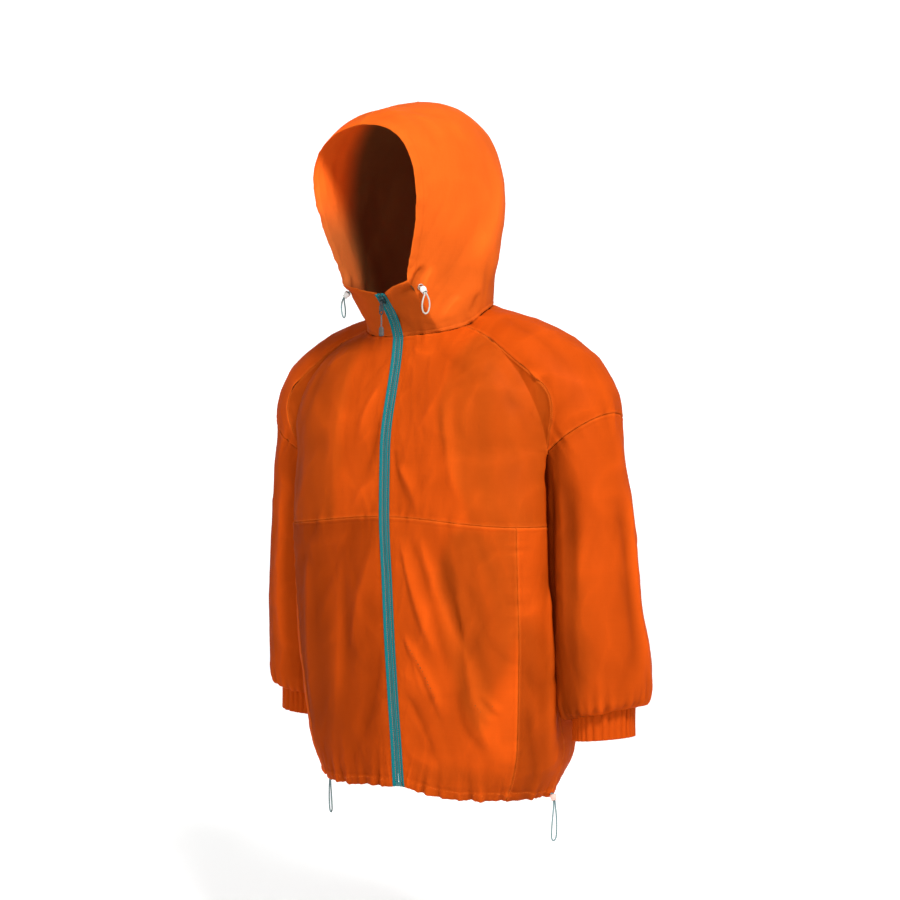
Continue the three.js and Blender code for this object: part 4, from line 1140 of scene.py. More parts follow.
def webbing(name, colour, fleck):
    """Woven tape: fine ribs along it with a fleck of a lighter thread."""
    finish = Finish(name)
    x, y, z = finish.xyz()
    ribs = (z * 5200.0).sine() * 0.5 + 0.5
    lines = (x * 6200.0).sine() * 0.5 + 0.5
    dust = finish.noise((420.0, 420.0, 240.0))
    base = finish.mix((ribs * lines * 0.5 + dust * 0.35).clamped(), opaque(colour), opaque(fleck))
    normal = finish.bump(ribs * 0.5 + lines * 0.4, 0.5, 0.0004)
    return finish.opaque(Base_Color=base, Roughness=0.62 + dust * 0.15, Normal=normal, IOR=1.15)


def braid(name, colour, fleck):
    """A braided cord: two crossing sets of strands round it."""
    finish = Finish(name)
    x, y, z = finish.xyz()
    rise, turn = z * 4200.0, (x + y) * 3000.0
    strands = (rise + turn).sine() * (rise - turn).sine() * 0.5 + 0.5
    base = finish.mix(strands.clamped(), opaque(colour), opaque(fleck))
    dust = finish.noise(300.0)
    return finish.opaque(Base_Color=finish.tone(base, 0.85 + dust * 0.3), Roughness=0.7 + dust * 0.15,
                         Normal=finish.bump(strands, 0.6, 0.0003), Sheen_Weight=0.25)


def moulded(name, colour, roughness, speckle=0.06, **sockets):
    """Moulded plastic or rubber with a fine grain and slightly worn patches."""
    finish = Finish(name)
    grain = finish.noise(1600.0, detail=2.0)
    worn = finish.noise(140.0)
    base = finish.tone(finish.mix(worn * 0.3, opaque(colour), lighter(colour, 1.5, 0.02)),
                       1 - speckle + grain * 2 * speckle)
    dull = (worn * 0.2 + (roughness - 0.1)).clamped()
    return finish.opaque(Base_Color=base, Roughness=dull,
                         Normal=finish.bump(grain, 0.2, 0.0001), **sockets)


def metal(name, colour, roughness):
    """Painted or plated metal with bright rubbed places."""
    finish = Finish(name)
    rubbed = finish.noise(260.0, detail=5.0)
    fine = finish.noise((1800.0, 1800.0, 300.0))
    base = finish.mix((rubbed * 1.6 - 0.7).clamped(), opaque(colour), lighter(colour, 1.8, 0.05))
    dull = (rubbed * 0.25 + (roughness - 0.1) + fine * 0.05).clamped()
    return finish.opaque(Base_Color=base, Metallic=0.85, Roughness=dull,
                         Normal=finish.bump(fine, 0.15, 0.0001))


# ---- settings a user would change ----

PROPS = bpy.props


def colour_setting(name, description, default):
    return PROPS.FloatVectorProperty(name=name, description=description, default=default, subtype="COLOR",
                                     size=3, min=0.0, max=1.0)


def length_setting(name, description, default, least=0.0):
    return PROPS.FloatProperty(name=name, description=description, default=default, min=least,
                               subtype="DISTANCE", unit="LENGTH", precision=5)


def place_setting(name, description, default):
    return PROPS.FloatProperty(name=name, description=description, default=default, subtype="DISTANCE",
                               unit="LENGTH")


def power_setting(name, description, default):
    return PROPS.FloatProperty(name=name, description=description, default=default, min=0.0,
                               subtype="POWER", unit="POWER")


def factor_setting(name, description, default, most=1.0):
    return PROPS.FloatProperty(name=name, description=description, default=default, min=0.0, max=most,
                               subtype="FACTOR")


class JACKET_PG_cloth(bpy.types.PropertyGroup):
    """Cloth of the jacket."""
    spacing: length_setting("Mesh spacing", "Distance between points of the cloth", 0.0031, 0.002)
    thickness: length_setting("Thickness", "Thickness of the cloth", 0.0005, 0.0001)
    crease_depth: factor_setting("Crease depth", "How deep the creases are", 1.8, 3.0)
    crease_shade: factor_setting("Crease shade", "How much lighter a crest is than a hollow", 0.3)
    body_colour: colour_setting("Body colour", "Nylon of the body and sleeves", (0.43, 0.055, 0.003))
    # Painted light: the hood is the same nylon as the body, painted lighter where light comes through its
    # single layer.
    hood_lit_colour: colour_setting("Hood colour", "Nylon of the hood", (0.53, 0.086, 0.008))
    # Painted shade: the colour of the nylon where the dark inside shows through it, partly more layers.
    layered_shade_colour: colour_setting("Layered colour", "Nylon with more layers behind it", (0.24, 0.042, 0.003))
    seam_colour: colour_setting("Seam colour", "Nylon along a seam", (0.57, 0.115, 0.010))
    # Painted shade: a dark colour for the hood's inside where it lies in shade.
    inside_shade_colour: colour_setting("Inside colour", "Inside of the hood", (0.10, 0.045, 0.014))
    glow_colour: colour_setting("Glow colour", "Light that comes through the nylon", (1.0, 0.09, 0.001))
    # Painted light: the strength of that faint emission.
    scatter: factor_setting("Scatter", "Light that thin nylon passes on from fold to fold", 0.045)
    gloss: PROPS.FloatProperty(name="Gloss", description="Refractive index of the nylon's surface",
                               default=1.07, min=1.0, max=2.0)
    see_through: factor_setting("See-through", "Share of the light that goes through one face", 0.3)


class JACKET_PG_trim(bpy.types.PropertyGroup):
    """Zip, cords, thread and small parts."""
    zip_colour: colour_setting("Zip colour", "Woven tape of the zip", (0.003, 0.090, 0.098))
    coil_colour: colour_setting("Coil colour", "Coil of the zip", (0.005, 0.085, 0.090))
    pale_cord: colour_setting("Pale cord", "Cord of the left hood loop", (0.31, 0.30, 0.26))
    grey_cord: colour_setting("Grey cord", "Cord of the other loops", (0.06, 0.10, 0.105))
    thread_colour: colour_setting("Thread colour", "Topstitching", (0.50, 0.085, 0.006))
    stitch: length_setting("Stitch length", "Length of one stitch", 0.0021, 0.001)
    stitch_pitch: length_setting("Stitch pitch", "From one stitch to the next", 0.0031, 0.001)
    coil_pitch: length_setting("Coil pitch", "From one turn of the coil to the next", 0.0014, 0.0008)


class JACKET_PG_stage(bpy.types.PropertyGroup):
    """Camera, lights and floor."""
    azimuth: PROPS.FloatProperty(name="Azimuth", description="Turn of the camera toward the wearer's left",
                                 default=math.radians(37), subtype="ANGLE", unit="ROTATION")
    distance: length_setting("Distance", "Camera to the jacket's axis", 3.0, 0.5)
    height: place_setting("Height", "Level of the camera", -0.209)
    aside: place_setting("Aside", "Camera's move to its own right", 0.0147)
    lens: PROPS.FloatProperty(name="Lens", description="Focal length", default=81.64, min=10.0,
                              subtype="DISTANCE_CAMERA", unit="CAMERA")
    floor: place_setting("Floor", "Level of the floor", -1.05)
    key: power_setting("Key light", "Power of the main light", 165.0)
    fill: power_setting("Fill light", "Power of the fill light", 3.0)
    world: PROPS.FloatProperty(name="World", description="Strength of the light from all round", default=0.26)


# ---- drawcords ----

CORD_DIAMETER = 2.2
EYELET = {"inner": 3.0, "outer": 4.8, "height": 0.9, "lift": 0.5}
LOCK = {"inner": 3.05, "outer": 4.6, "length": 8.6}
HOOD_FACETS = (11, 12)

# Out from the cloth, drop below the eyelet, and half the way between the strands.
HOOD_LOOP = (
    (0.3, 0.0, 1.3), (2.6, 0.4, 1.3), (5.0, 2.0, 1.3), (8.0, 5.2, 1.3), (11.0, 8.4, 1.3), (12.8, 12.0, 2.2),
    (13.4, 17.5, 4.8), (13.2, 24.5, 6.4), (12.7, 31.0, 6.0), (12.3, 36.0, 3.9), (12.2, 38.2, 0.0),
)
HEM_LOOP = (
    (0.3, 0.0, 1.3), (2.8, 0.6, 1.3), (5.4, 3.0, 1.3), (6.8, 7.2, 1.3), (8.0, 11.4, 1.3), (8.8, 18.0, 1.7),
    (9.0, 30.0, 3.2), (8.6, 43.0, 4.6), (8.0, 57.0, 5.0), (7.4, 65.5, 3.9), (7.2, 68.6, 0.0),
)


def hood_facet(u, v):
    """A place on the flat facets of the hood's solid."""
    columns, rows = HOOD_FACETS
    column, row = min(columns - 1, int(u * columns)), min(rows - 1, int(v * rows))
    corner = lambda i, j: hood_skin((column + i) / columns, (row + j) / rows)
    low = lerp(corner(0, 0), corner(1, 0), u * columns - column)
    high = lerp(corner(0, 1), corner(1, 1), u * columns - column)
    return lerp(low, high, v * rows - row)


def exit_frame(kind, side):
    """Where a loop leaves the cloth, the way out and the level way out."""
    if kind == "hood":
        u, v, across, up = 0.03, 0.74, 0.01, 0.01
        skin = lambda a, b: mirror(hood_facet(a, b), side)
    else:
        u, v, across, up = 0.5, float(hem_level(0.5, side)) + 7.5, 0.004, 2.0
        skin = lambda a, b: dress_lower(a, b, side)
    place = skin(u, v)
    up_way = unit(skin(u, v + up) - place)
    out = unit(np.cross(skin(u + across, v) - skin(u - across, v), up_way)) * side
    return place, out, unit(out * np.array([1.0, 1.0, 0.0])), up_way


def loop_route(kind, side):
    """The points of one loop, from the eyelet down and back, in millimetres."""
    place, out, level, _ = exit_frame(kind, side)
    sideways = np.array([-level[1], level[0], 0.0])
    rows = HOOD_LOOP if kind == "hood" else HEM_LOOP
    strand = lambda row, hand: (place + (out if row[1] < 1 else level) * row[0] + sideways * hand * row[2]
                                - np.array([0.0, 0.0, row[1]]))
    return np.array([strand(row, 1) for row in rows] + [strand(row, -1) for row in rows[-2::-1]])


def centripetal(points, steps):
    """A smooth curve through points, with the knots spaced by the root of their distances."""
    ends = np.concatenate([[2 * points[0] - points[1]], points, [2 * points[-1] - points[-2]]])
    curve = []
    for p0, p1, p2, p3 in zip(ends, ends[1:], ends[2:], ends[3:]):
        gaps = [np.linalg.norm(b - a) for a, b in ((p0, p1), (p1, p2), (p2, p3))]
        t = np.cumsum([0.0] + [max(1e-4, gap) ** 0.5 for gap in gaps])
        for at in np.linspace(t[1], t[2], steps, endpoint=False):
            mixed = lambda a, b, ta, tb: (a * (tb - at) + b * (at - ta)) / (tb - ta)
            a1, a2, a3 = mixed(p0, p1, t[0], t[1]), mixed(p1, p2, t[1], t[2]), mixed(p2, p3, t[2], t[3])
            b1, b2 = mixed(a1, a2, t[0], t[2]), mixed(a2, a3, t[1], t[3])
            curve.append(mixed(b1, b2, t[1], t[2]))
    return np.array(curve + [points[-1]])


def frame_at(place, out, up):
    """Turns local points (x across, y up the cloth, z out of it) into the jacket's frame."""
    across = unit(np.cross(up, out))
    turn = np.stack([across, unit(np.cross(out, across)), out])
    return lambda points: place + points @ turn


def turned(profile, segments):
    """A closed ring turned about z from (radius, height) pairs."""
    angle = np.linspace(0, 2 * math.pi, segments, endpoint=False)
    points = [point(r * np.cos(angle), r * np.sin(angle), h) for r, h in profile]
    return np.concatenate(points), ring_faces(len(profile), segments, closed=True)


def rounded(corners, radius, steps=4):
    """An outline with round corners: the middle of each and the angle in degrees that it starts at."""
    return [(x + radius * math.cos(math.radians(start + 90 * i / steps)),
             y + radius * math.sin(math.radians(start + 90 * i / steps)))
            for x, y, start in corners for i in range(steps + 1)]


def rounded_ring(inner, outer, low, high, radius):
    """The profile of a ring with rounded edges."""
    return rounded(((outer - radius, low + radius, -90), (outer - radius, high - radius, 0),
                    (inner + radius, high - radius, 90), (inner + radius, low + radius, 180)), radius)


# ---- operators ----

# rough heights of the cloth above and below the chest seam, for its points
UPPER_DEPTH = 105.0
LOWER_DEPTH = 410.0

LIGHTS_AIM = Vector((0, 0, -0.2))
BACKDROP = ((0.0001, 0.0), (3.0, 0.0), (6.0, 0.0), (7.4, 0.25), (8.3, 0.95), (8.7, 2.2), (8.8, 7.0))


class JACKET_OT_stage(bpy.types.Operator):
    """Camera, soft lights and a pale floor that runs up into a backdrop"""
    bl_idname = "jacket.stage"
    bl_label = "Stage"
    bl_options = {"REGISTER", "UNDO"}

    def execute(self, context):
        stage = settings()[2]
        away = Vector((math.sin(stage.azimuth), -math.cos(stage.azimuth), 0.0))
        right = Vector((math.cos(stage.azimuth), math.sin(stage.azimuth), 0.0))
        self.camera(stage, away, right)
        self.lamp("key", away * 2.1 + right * 0.6 + Vector((0, 0, 1.7)), 0.6, stage.key)
        self.lamp("fill", away * 2.2 - right * 1.0 + Vector((0, 0, 0.9)), 1.8, stage.fill)
        self.lamp("crown", right * 0.4 - away * 1.2 + Vector((0, 0, 2.0)), 1.2, stage.fill * 1.3)
        self.surroundings(stage)
        self.floor(stage)
        return {"FINISHED"}

    def camera(self, stage, away, right):
        """A camera level with the jacket's middle, which looks a little past its axis."""
        scene = bpy.context.scene
        target = Vector((0, 0, stage.height)) + right * stage.aside
        camera = bpy.data.objects.new("camera", bpy.data.cameras.new("camera"))
        camera.data.lens = stage.lens
        camera.data.sensor_width = 36.0
        camera.location = target + away * stage.distance
        camera.rotation_euler = (target - camera.location).to_track_quat("-Z", "Y").to_euler()
        scene.collection.objects.link(camera)
        scene.camera = camera

    def lamp(self, name, place, size, power):
        """A square lamp that faces the jacket's middle."""
        lamp = bpy.data.objects.new(name, bpy.data.lights.new(name, "AREA"))
        lamp.data.energy = power
        lamp.data.size = size
        lamp.location = place
        lamp.rotation_euler = (LIGHTS_AIM - place).to_track_quat("-Z", "Y").to_euler()
        bpy.context.scene.collection.objects.link(lamp)

    def surroundings(self, stage):
        scene = bpy.context.scene
        scene.view_settings.view_transform = "Standard"
        world = bpy.data.worlds.new("studio")
        world.use_nodes = True
        background = world.node_tree.nodes["Background"]
        background.inputs["Color"].default_value = (1.0, 1.0, 1.0, 1.0)
        background.inputs["Strength"].default_value = stage.world
        scene.world = world

    def floor(self, stage):
        """Pale paper that glows a little, so that it stays white behind the jacket."""
        finish = Finish("floor")
        paper = finish.noise(3.0)
        base = finish.tone((0.94, 0.94, 0.935), 0.99 + paper * 0.02)
        white = finish.opaque(Base_Color=base, Roughness=0.95,
                              Emission_Color=(1.0, 1.0, 1.0, 1.0), Emission_Strength=0.36)
        turn = np.linspace(0, 2 * math.pi, 49)[:-1]
        rings = [point(r * np.cos(turn), r * np.sin(turn), stage.floor + rise) for r, rise in BACKDROP]
        add_mesh("floor", np.concatenate(rings) / MM, ring_faces(len(rings), len(turn)), white)


class JACKET_OT_cords(bpy.types.Operator):
    """Drawcord loops at the hood and hem, with their spring locks and eyelets"""
    bl_idname = "jacket.cords"
    bl_label = "Drawcords"
    bl_options = {"REGISTER", "UNDO"}

    def execute(self, context):
        trim = settings()[1]
        pale = braid("pale_cord", trim.pale_cord, [c * 0.75 for c in trim.pale_cord])
        grey = braid("grey_cord", trim.grey_cord, [c * 2.2 for c in trim.grey_cord])
        clear = moulded("clear_plastic", (0.50, 0.49, 0.47), 0.3, Coat_Weight=0.4)
        rosy = moulded("rosy_plastic", (0.52, 0.30, 0.25), 0.3, Coat_Weight=0.4)
        brass = metal("eyelet_metal", (0.42, 0.34, 0.28), 0.35)
        for kind, lock_finish in (("hood", clear), ("hem", rosy)):
            for word, side in SIDES:
                place, out, level, up = exit_frame(kind, side)
                eyelet = self.ring(f"eyelet_{kind}_{word}", (place, out, up), brass, "eyelet_metal",
                                   rounded_ring(EYELET["inner"], EYELET["outer"], EYELET["lift"],
                                                EYELET["lift"] + EYELET["height"], 0.42))
                route = loop_route(kind, side)
                lock = self.lock(f"lock_{kind}_{word}", route, level, lock_finish)
                seen_pale = (kind, word) == ("hood", "left")
                self.loop(f"cord_{kind}_{word}", route, pale if seen_pale else grey,
                          "pale_cord" if seen_pale else "grey_cord", [lock, eyelet])
        return {"FINISHED"}

    def ring(self, node, seat, finish, slot, profile):
        """A ring turned about its axis, which replaces its solid."""
        points, faces = turned(profile, 28)
        return enter(add_mesh(f"{node}_ring", frame_at(*seat)(points), faces, finish), slot, node)

    def lock(self, node, route, level, finish):
        """A spring lock round both strands: a barrel with a narrower button on its lower end."""
        top = (route[2] + route[-3]) / 2
        foot = (route[4] + route[-5]) / 2
        half = LOCK["length"] / 2
        barrel = rounded_ring(LOCK["inner"], LOCK["outer"], -half, half * 0.25, 1.2)
        button = rounded_ring(LOCK["inner"], LOCK["outer"] - 0.7, half * 0.25, half, 0.7)
        outer_side, inner_side = barrel[:10], button[5:]
        return self.ring(node, ((top + foot) / 2, unit(foot - top), level), finish, "clear_plastic",
                         outer_side + inner_side)

    def loop(self, node, route, finish, slot, held_by):
        """A free loop of cord, from its eyelet through its lock and back."""
        curve = centripetal(route, 5)
        data = bpy.data.curves.new(node, "CURVE")
        data.dimensions = "3D"
        data.bevel_depth = CORD_DIAMETER / 2 * MM
        data.bevel_resolution = 3
        data.use_fill_caps = True
        spline = data.splines.new("POLY")
        spline.points.add(len(curve) - 1)
        for knot, at in zip(spline.points, curve):
            knot.co = (*(at * MM), 1.0)
        data.materials.append(finish)
        cord = bpy.data.objects.new(f"{node}_loop", data)
        bpy.context.scene.collection.objects.link(cord)
        enter(cord, slot, node)
        round(float(run_of(curve)[-1]) * MM, 3)


def shell_cloth(name):
    """The nylon of the body or the hood, made once. The hood's is a lighter copy of the body's nylon: painted
    light.
    """
    cloth = settings()[0]
    colour = cloth.hood_lit_colour if name == "hood_lit_nylon" else cloth.body_colour
    return bpy.data.materials.get(name) or nylon(name, colour, cloth, cloth.inside_shade_colour)


class JACKET_OT_body(bpy.types.Operator):
    """Chest, front, side, yoke and back panels"""
    bl_idname = "jacket.body"
    bl_label = "Body panels"
    bl_options = {"REGISTER", "UNDO"}

    def execute(self, context):
        finish = shell_cloth("body_nylon")
        for word, side in SIDES:
            self.chest(word, side, finish)
            for name, span, width, seams, flat in (
                    ("front", (0, POCKET_SHARE), 200, "chest pocket hem zip", (215, 415)),
                    ("side", (POCKET_SHARE, 0.5), 125, "chest pocket side hem", (140, 410))):
                patch = grid(lower_patch(span, chest_seam_level, hem_level, side), width, LOWER_DEPTH)
                sew(f"{name}_{word}", [patch], seams_of(word, seams), finish, flat, side)
        self.yoke(finish)
        self.back(finish)
        return {"FINISHED"}

    def chest(self, word, side, finish):
        """An upper front: its chest, the strip up to the shoulder seam, and the part below the arm."""
        front = ARMHOLE["share"]
        sew(f"chest_{word}", [
            grid(lambda u, v: dress(chest_skin(u, 1 - v), side), 230, 250),
            grid(lambda u, v: dress(shoulder_skin(u * seam_shift(1 - v), 1 - v), side), 40, 250),
            grid(lower_patch((0, front), ring_level, chest_seam_level, side), 230, UPPER_DEPTH),
            grid(lower_patch((front, 0.5), ring_level, chest_seam_level, side), 60, UPPER_DEPTH),
        ], seams_of(word, "neck shoulder chest armhole armpit zip"), finish, (285, 345), side,
            bends=(traced(lambda v: dress(shoulder_skin(0 * v, v), side)),
                   traced(lambda v: dress_lower(front * v, ring_level(front * v, side), side))))

    def yoke(self, finish):
        """Both shoulders and the upper back, in one."""
        grids = []
        over = lambda u, v: lerp(seam_shift(1 - v), 1.0, u)
        for _, side in SIDES:
            shoulder = lambda u, v: dress(shoulder_skin(over(u, v), 1 - v), side)
            upper_back = lambda u, v: dress(upper_back_skin(u, 1 - v), side)
            grids += [grid(facing_out(shoulder, side), 190, 160),
                      grid(facing_out(upper_back, side), 170, 160)]
        bends = [traced(lambda v: dress(shoulder_skin(1 + 0 * v, v), side)) for _, side in SIDES]
        sew("yoke", grids, seams_of("left right", "neck shoulder armhole yoke"), finish, (690, 330),
            nodes=("yoke_left", "yoke_right", "shoulder_left", "shoulder_right"),
            bends=bends)

    def back(self, finish):
        """The back below the yoke, round to both side seams, in one."""
        grids = []
        near = 1 - ARMHOLE["share"]
        for _, side in SIDES:
            for span, width in (((0.5, near), 60), ((near, 1.0), 215)):
                upper = lower_patch(span, ring_level, chest_seam_level, side)
                lower = lower_patch(span, chest_seam_level, hem_level, side)
                grids += [grid(facing_out(upper, side), width, UPPER_DEPTH),
                          grid(facing_out(lower, side), width, LOWER_DEPTH)]
        sew("back", grids, seams_of("left right", "yoke armpit side hem"), finish, (640, 560),
            nodes=("back_left", "back_right"))


class JACKET_OT_hood(bpy.types.Operator):
    """The raised hood with its collar stand"""
    bl_idname = "jacket.hood"
    bl_label = "Hood"
    bl_options = {"REGISTER", "UNDO"}

    def execute(self, context):
        grids = []
        for _, side in SIDES:
            stand = lambda u, v: mirror(stand_skin(u, v), side)
            hood = lambda u, v: mirror(hood_skin(u, v), side)
            grids += [grid(facing_out(stand, side), 90, 330), grid(facing_out(hood, side), 270, 330)]
        seams = seams_of("left right", "neck stand_top brim") + seams_of("left", "crown")
        sew("hood", grids, seams, shell_cloth("hood_lit_nylon"), (640, 390), nodes=("hood_left", "hood_right"),
            steep=0.9, wrinkle=0.8, inner=self.unlit)
        return {"FINISHED"}

    def unlit(self, points):
        """Where the hood's inside is painted dark as shade: less so by the brim on the right, where light
        comes through.
        """
        x, y, z = points.T
        right, ahead = smooth((-x - 10) / 30), smooth((-50 - y) / 60)
        return 1 - 0.9 * right * ahead * lerp(0.35, 1.0, smooth((z - 90) / 90))


class JACKET_OT_sleeves(bpy.types.Operator):
    """Sleeves gathered into elastic cuffs"""
    bl_idname = "jacket.sleeves"
    bl_label = "Sleeves and cuffs"
    bl_options = {"REGISTER", "UNDO"}

    def execute(self, context):
        cloth = settings()[0]
        cuff_finish = nylon("cuff_nylon", [c * 0.92 for c in cloth.body_colour], cloth, cloth.inside_shade_colour)
        for word, side in SIDES:
            sew(f"sleeve_{word}", self.sleeve(side), seams_of(word, "armhole"), shell_cloth("body_nylon"),
                (470, 440), side, steep=0.25, extra=self.gathers)
            cuff = grid(lambda u, v: self.hung(self.cuff(u, (1 + CUFF["tucked_in"]) * v), side), 900, 44)
            sew(f"cuff_{word}", [cuff], [], cuff_finish, (330, 48), side, slot="cuff_cloth", wrinkle=0.15)
        return {"FINISHED"}

    def sleeve(self, side):
        """A sleeve's patches: its length and its gathered foot, over the arm and under it."""
        edge = ARMHOLE["angle"]
        patches = []
        for start, end, width in ((edge, -edge, 290), (-edge, edge - 360, 180)):
            angle = lambda u: lerp(start, end, u)
            rise = lambda u, v: lerp(SLEEVE_FULL, armhole(angle(u))[..., 2], v)
            foot = lambda v: lerp(SLEEVE_END, SLEEVE_FULL, v ** 1.7)
            patches += [grid(lambda u, v: self.hung(sleeve_point(angle(u), rise(u, v)), side), width, 330),
                        grid(lambda u, v: self.hung(sleeve_point(angle(u), foot(v)), side), width, 42)]
        return patches

    def hung(self, places, side):
        """The sleeve's foot sags toward the body, and the cuff turns a little with it."""
        x, y, z = places[..., 0], places[..., 1], places[..., 2]
        foot = smooth((z + 430) / -120) * lerp(1.0, 0.45, smooth((SLEEVE_END - z) / 34))
        return mirror(point(x, y, z + SLEEVE_SAG * (x - CUFF["x"]) * foot), side)

    def gathers(self, points):
        """Gathers above the cuff, which die out up the sleeve."""
        across = np.abs(points[:, 0]) - CUFF["x"]
        turn = np.arctan2(points[:, 1] - CUFF["y"], across)
        above = np.maximum(0.0, points[:, 2] - SLEEVE_END - SLEEVE_SAG * across)
        wave = np.sin(GATHERS * turn + 1.3 * np.sin(3 * turn)) + 0.6 * np.sin(17 * turn + 0.8 + above / 30)
        fade = np.exp(-above / (13 + 6 * np.sin(5 * turn + 1.0))) * smooth(above / 5)
        return 2.8 * wave * fade

    def cuff(self, u, v):
        """The elastic cuff's skin with uneven pleats."""
        turn = 2 * math.pi * u
        uneven = GATHERS / 2 * turn + 0.9 * np.sin(3 * turn + 0.4) + 0.25 * np.sin(7 * turn)
        pleat = (np.abs(np.sin(uneven)) ** 0.6 - 0.62) * (0.75 + 0.25 * np.sin(5 * turn + 2.0))
        radius = CUFF["radius"] + CUFF["pleat"] * pleat - 0.3 * np.sin(math.pi * np.minimum(v, 1))
        return point(CUFF["x"] + radius * np.cos(turn), CUFF["y"] + radius * np.sin(turn),
                     lerp(CUFF["bottom"], CUFF["top"], v))


POCKET_DEPTH = 6.0      # from the front's outer face in to the bag's


class JACKET_OT_pockets(bpy.types.Operator):
    """Pocket bags behind the fronts"""
    bl_idname = "jacket.pockets"
    bl_label = "Pocket bags"
    bl_options = {"REGISTER", "UNDO"}

    def execute(self, context):
        cloth = settings()[0]
        finish = nylon("pocket_nylon", cloth.body_colour, cloth, cloth.inside_shade_colour)
        for word, side in SIDES:
            bag = grid(lambda u, v: self.bag(u, v, side), 130, 255)
            sew(f"pocket_{word}", [bag], [], finish, (145, 265), side, slot="pocket_cloth", wrinkle=0.2,
                extra=lambda points: -POCKET_DEPTH)
        return {"FINISHED"}

    def bag(self, u, v, side):
        """The bag's skin, with its lower inner corner cut off."""
        corner = np.maximum(0, 1 - 6 * u) * np.maximum(0, 1 - 7 * v)
        share = POCKET_SHARE * lerp(0.34, 0.995, u + 0.066 * corner)
        height = lerp(0.10, 0.72, v + 0.057 * corner)
        return dress_lower(share, lerp(hem_level(share, side), chest_seam_level(share, side), height), side)


# ---- small hard forms ----


def merged(parts):
    """Several closed forms, each (points, faces), as one."""
    points, faces, start = [], [], 0
    for form_points, form_faces in parts:
        points.append(form_points)
        faces += [[start + i for i in face] for face in form_faces]
        start += len(form_points)
    return np.concatenate(points), faces


def beads(template, places, ways, outs):
    """One small form repeated: x along each way, z out of the cloth."""
    points, faces = template
    ways = unit(ways - outs * (ways * outs).sum(axis=1)[:, None])
    turns = np.stack([ways, np.cross(outs, ways), outs], axis=1)
    every = np.einsum("pi,nij->npj", points, turns) + places[:, None, :]
    steps = np.arange(len(places)) * len(points)
    return every.reshape(-1, 3), (faces[None] + steps[:, None, None]).reshape(-1, 4)


CAPSULE = ((-0.5, 0.04), (-0.44, 0.75), (-0.28, 1.0), (0.28, 1.0), (0.44, 0.75), (0.5, 0.04))


def capsule(length, radius, sides=6, bend=0.0):
    """A round-ended bar along x, bent down at its ends."""
    turn = np.linspace(0, 2 * math.pi, sides, endpoint=False)
    points = [point(x * length, radius * r * np.cos(turn), radius * r * np.sin(turn) - bend * (2 * x) ** 2)
              for x, r in CAPSULE]
    return np.concatenate(points), np.array(ring_faces(len(CAPSULE), sides))


def capped(rings, count):
    """Faces of a closed form through rings of points, with a flat face on each end."""
    first, last = list(range(count)), list(range((rings - 1) * count, rings * count))
    return ring_faces(rings, count) + [first[::-1], last]


def loft(outline, levels):
    """A closed form through copies of an outline: each level gives a height and an inset."""
    outline = np.array(outline, float)
    edge = np.roll(outline, -1, axis=0) - np.roll(outline, 1, axis=0)
    outward = unit(np.stack([edge[:, 1], -edge[:, 0]], axis=-1))
    inset_by = lambda inset: (outline - outward * inset).T
    points = [point(*inset_by(inset), height) for height, inset in levels]
    return np.concatenate(points), capped(len(levels), len(outline))


def moved(form, x=0.0, y=0.0, z=0.0):
    points, faces = form
    return points + [x, y, z], faces


def laid_across(form):
    """A form made along z, turned so that it lies across the zip."""
    points, faces = form
    return points[:, [2, 0, 1]], faces


def bevelled(thickness, bevel, steps=3):
    """The levels of a plate with rounded edges, centred on its middle."""
    half = thickness / 2
    turns = [math.radians(90 * i / steps) for i in range(steps, -1, -1)]
    low = [(-half + bevel * (1 - math.sin(turn)), bevel * (1 - math.cos(turn))) for turn in turns]
    return low + [(-height, inset) for height, inset in low[::-1]]


def quadratic(start, control, end, steps=5):
    """A bent line between two places."""
    share = np.linspace(0, 1, steps)[:, None]
    start, control, end = (np.array(place, float) for place in (start, control, end))
    return ((1 - share) ** 2 * start + 2 * share * (1 - share) * control + share ** 2 * end).tolist()


ZIP = {"tape": (-0.13, 0.46), "tape_wall": 0.7, "rib": 0.55, "coil_level": 0.35, "tooth": 2.3,
       "tooth_radius": 0.5, "cord": 1.25, "cord_radius": 0.32, "foot": 0.012, "top": 0.997}
BOX = {"x": 3.4, "y": 2.0, "corner": 1.0, "depth": 2.6}
SLIDER = {"below": 7.5, "lift": 0.9, "width": 9.0, "height": 12.0, "depth": 3.0, "ear": 1.0,
          "ear_half": 1.7, "pin": 0.8, "stand_off": 2.6}
TAB = {"eye": 1.15, "barrel": 2.1, "length": 3.6, "width": 7.6, "thick": 1.4, "tab": 18.0,
       "slot": (2.2, 1.6)}
STRAP = {"length": 16.0, "strand": (0.66, 0.62), "lay": (0.62, 0.36), "turns": 2.5}
END = {"width": 8.0, "thick": 4.0}

# Corners of the slider and the bends between them, in shares of its half width and half height.
SLIDER_CORNERS = ((-0.6, -1.0), (0.6, -1.0), (1.0, 0.5), (0.4, 1.0), (-0.4, 1.0), (-1.0, 0.5))
SLIDER_BENDS = ((0.0, -1.067), (0.8, 0.0), (1.0, 1.0), (0.0, 1.05), (-1.0, 1.0), (-0.8, 0.0))

# The moulded pull: drop from its top, then width and thickness as shares of the largest.
END_ROWS = (
    (0.0, 0.30, 0.4), (0.25, 0.5, 0.62), (1.0, 0.64, 0.82), (2.4, 0.86, 0.96), (4.0, 1.0, 1.0),
    (4.8, 0.97, 0.82), (5.6, 0.97, 0.80), (6.3, 1.0, 0.98), (7.1, 1.0, 1.0), (7.8, 0.97, 0.82),
    (8.6, 0.97, 0.80), (9.3, 1.0, 0.98), (11.4, 1.0, 1.0), (12.6, 0.97, 0.92), (13.2, 0.86, 0.7),
    (13.5, 0.6, 0.35),
)


